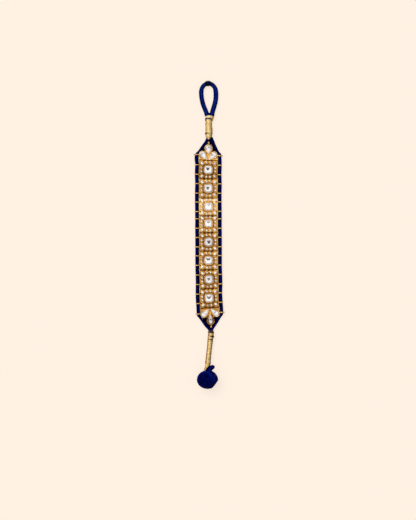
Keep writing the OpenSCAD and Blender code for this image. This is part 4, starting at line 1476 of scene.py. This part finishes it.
def drop_tone(grey_reflections, seed, narrow=False):
    """A pale drop with soft painted grey reflections, and facet tones that are painted reflections.
    A narrow one is only light along its middle, its outer part painted darker as reflection.
    """
    rng = np.random.default_rng(seed)

    def tone(x, y, kind):
        dark = sum(depth*np.exp(-((x - px)**2 + (y - py)**2)/size**2) for px, py, size, depth in grey_reflections)
        # Soft painted reflections in three wedges round the stone
        light = 0.97 - 0.1*(0.5 + 0.5*np.sin(3*np.arctan2(x, y - 1.2) + seed))
        if narrow:
            light -= 0.1 + 0.5*(1 - np.exp(-(x/0.85)**4))
        if kind == "table":
            return light - dark
        return light - 0.04 - 0.8*dark + rng.uniform(-0.22, 0.05)

    return tone


# %% Press the end pieces and cut their stones
# The plate stands on a narrower stem. Rows down their sides: height, inset, tone
END_SIDES = [(2.15, 0.0, 0.4), (1.95, 0.05, 0.3), (1.9, 0.2, 0.2)]
STEM_SIDES = [(1.0, 0.0, 0.3), (0.08, 0.0, 0.2), (0.0, 0.1, 0.2)]
STEM_IN, STEM_TOP, STEM_STEP = 1.2, 2.0, 0.3
DROP_BACK, DROP_GIRDLE, SIDE_TOP, TIP_TOP, DROP_TABLE = 2.12, 2.75, 2.12 + 1.15, 2.12 + 1.25, 0.68


def stem_relief(x, y):
    return np.full(np.shape(x), STEM_TOP), np.zeros(np.shape(x))


for end, lit in (("top", 0.1), ("bottom", -0.02)):
    at_end = ENDS[end][:3]
    box = (-END_W/2 - 0.5, END_W/2 + 0.5, -BASE_LIP[end], tip_end(end))
    skin = pressed_skin(
        lambda x, y: end_outline(x, y, end),
        lambda x, y: end_relief(x, y, end), box, STEP, END_SIDES, lit)
    stem = pressed_skin(
        lambda x, y: end_outline(x, y, end, STEM_IN), stem_relief, box, STEM_STEP, STEM_SIDES)
    parts = [(moved(points, at_end), faces, tones)
             for points, faces, tones in (skin, stem, *end_fittings(end))]
    new_piece(f"end_piece_{end}", parts, gold_foil, [f"{end}_trefoil"])
    names = ["left", "right", "tip"] if end == "top" else ["right", "left", "tip"]
    for name, place in zip(names, stone_places(end)):
        r, reach = place[3:]
        tone = drop_tone(DROP_REFLECTIONS[f"{end} {name}"], 200 + len(name), f"{end} {name}" == "bottom tip")
        top = TIP_TOP if name == "tip" else SIDE_TOP
        points, faces, tones = stone_cut(drop(r + 0.03, reach + 0.08, 8, 0.2), DROP_BACK, DROP_GIRDLE,
            top, DROP_TABLE, tone, 2, 8)
        points = moved(moved(points, place), at_end)
        new_stones(f"drop_stone_{end}_{name}", [(points, faces, tones)], f"{end}_stone_{name}")

# %% [markdown]
# ## Table and light
#
# The bracelet lies on a plain cream table. One broad light stands above it a little to the
# upper left, and the sky is bright overhead and dim near the table's edge. That darker band is
# what draws the soft shading on the rims, because gold shows what is round it. The table glows
# a little so that its shadows stay soft. Under the plaques it doesn't, or the narrow joints
# between them would shine.

# %% Table
TABLE_HALF_M = 3
# Half the width, the lower and the upper end of the table's face under the plaques, in mm
wide, low, high = 5.3, -53.0, 39.5
corners = [(x*TABLE_HALF_M, y*TABLE_HALF_M) for x, y in ((-1, -1), (1, -1), (1, 1), (-1, 1))]
corners += [(x*MM, y*MM) for x, y in ((-wide, low), (wide, low), (wide, high), (-wide, high))]
table_mesh = bpy.data.meshes.new("table")
around = [(k, (k + 1) % 4, 4 + (k + 1) % 4, 4 + k) for k in range(4)]
table_mesh.from_pydata([(x, y, 0) for x, y in corners], [], around + [(4, 5, 6, 7)])
table = bpy.data.objects.new("table", table_mesh)
bpy.context.scene.collection.objects.link(table)
CREAM = np.array([1.0, 0.876, 0.763])
for name, glow, grey in (("cream_table", 0.82, 0.182), ("table_in_shade", 0.0, 0.03)):
    cream, cream_shader = new_material(name, Roughness=0.85, Specular_IOR_Level=0.05,
        Base_Color=(*(grey*CREAM), 1.0), Emission_Color=(*CREAM, 1.0), Emission_Strength=glow)
    table.data.materials.append(cream)
    fine_bump(cream, cream_shader, 2.0, 0.01)
table_mesh.polygons[4].material_index = 1
print("table, m from side to side:", 2*TABLE_HALF_M)

# %% Light
world = bpy.data.worlds.new("studio")
bpy.context.scene.world = world
world.use_nodes = True
sky = world.node_tree.nodes["Background"]
set_inputs(sky, Strength=0.7)
direction = add_node(world, "ShaderNodeTexCoord")
height_of = add_node(world, "ShaderNodeSeparateXYZ")
sky_ramp = add_node(world, "ShaderNodeValToRGB")
for element, at, colour in zip(sky_ramp.color_ramp.elements, (0.05, 0.75), ((0.25, 0.24, 0.23), (1, 1, 1))):
    element.position = at
    element.color = (*colour, 1)
join(world, (direction.outputs["Generated"], height_of.inputs[0]),
    (height_of.outputs["Z"], sky_ramp.inputs["Fac"]), (sky_ramp.outputs["Color"], sky.inputs["Color"]))

sun_data = bpy.data.lights.new("broad_light", "SUN")
sun_data.energy = 1.6
sun_data.angle = np.radians(35)
sun = bpy.data.objects.new("broad_light", sun_data)
sun.rotation_euler = (np.radians(-24), np.radians(-20), 0)
bpy.context.scene.collection.objects.link(sun)
bpy.context.scene.view_settings.view_transform = "Standard"
print("broad light, degrees from side to side:", round(np.degrees(sun_data.angle)))
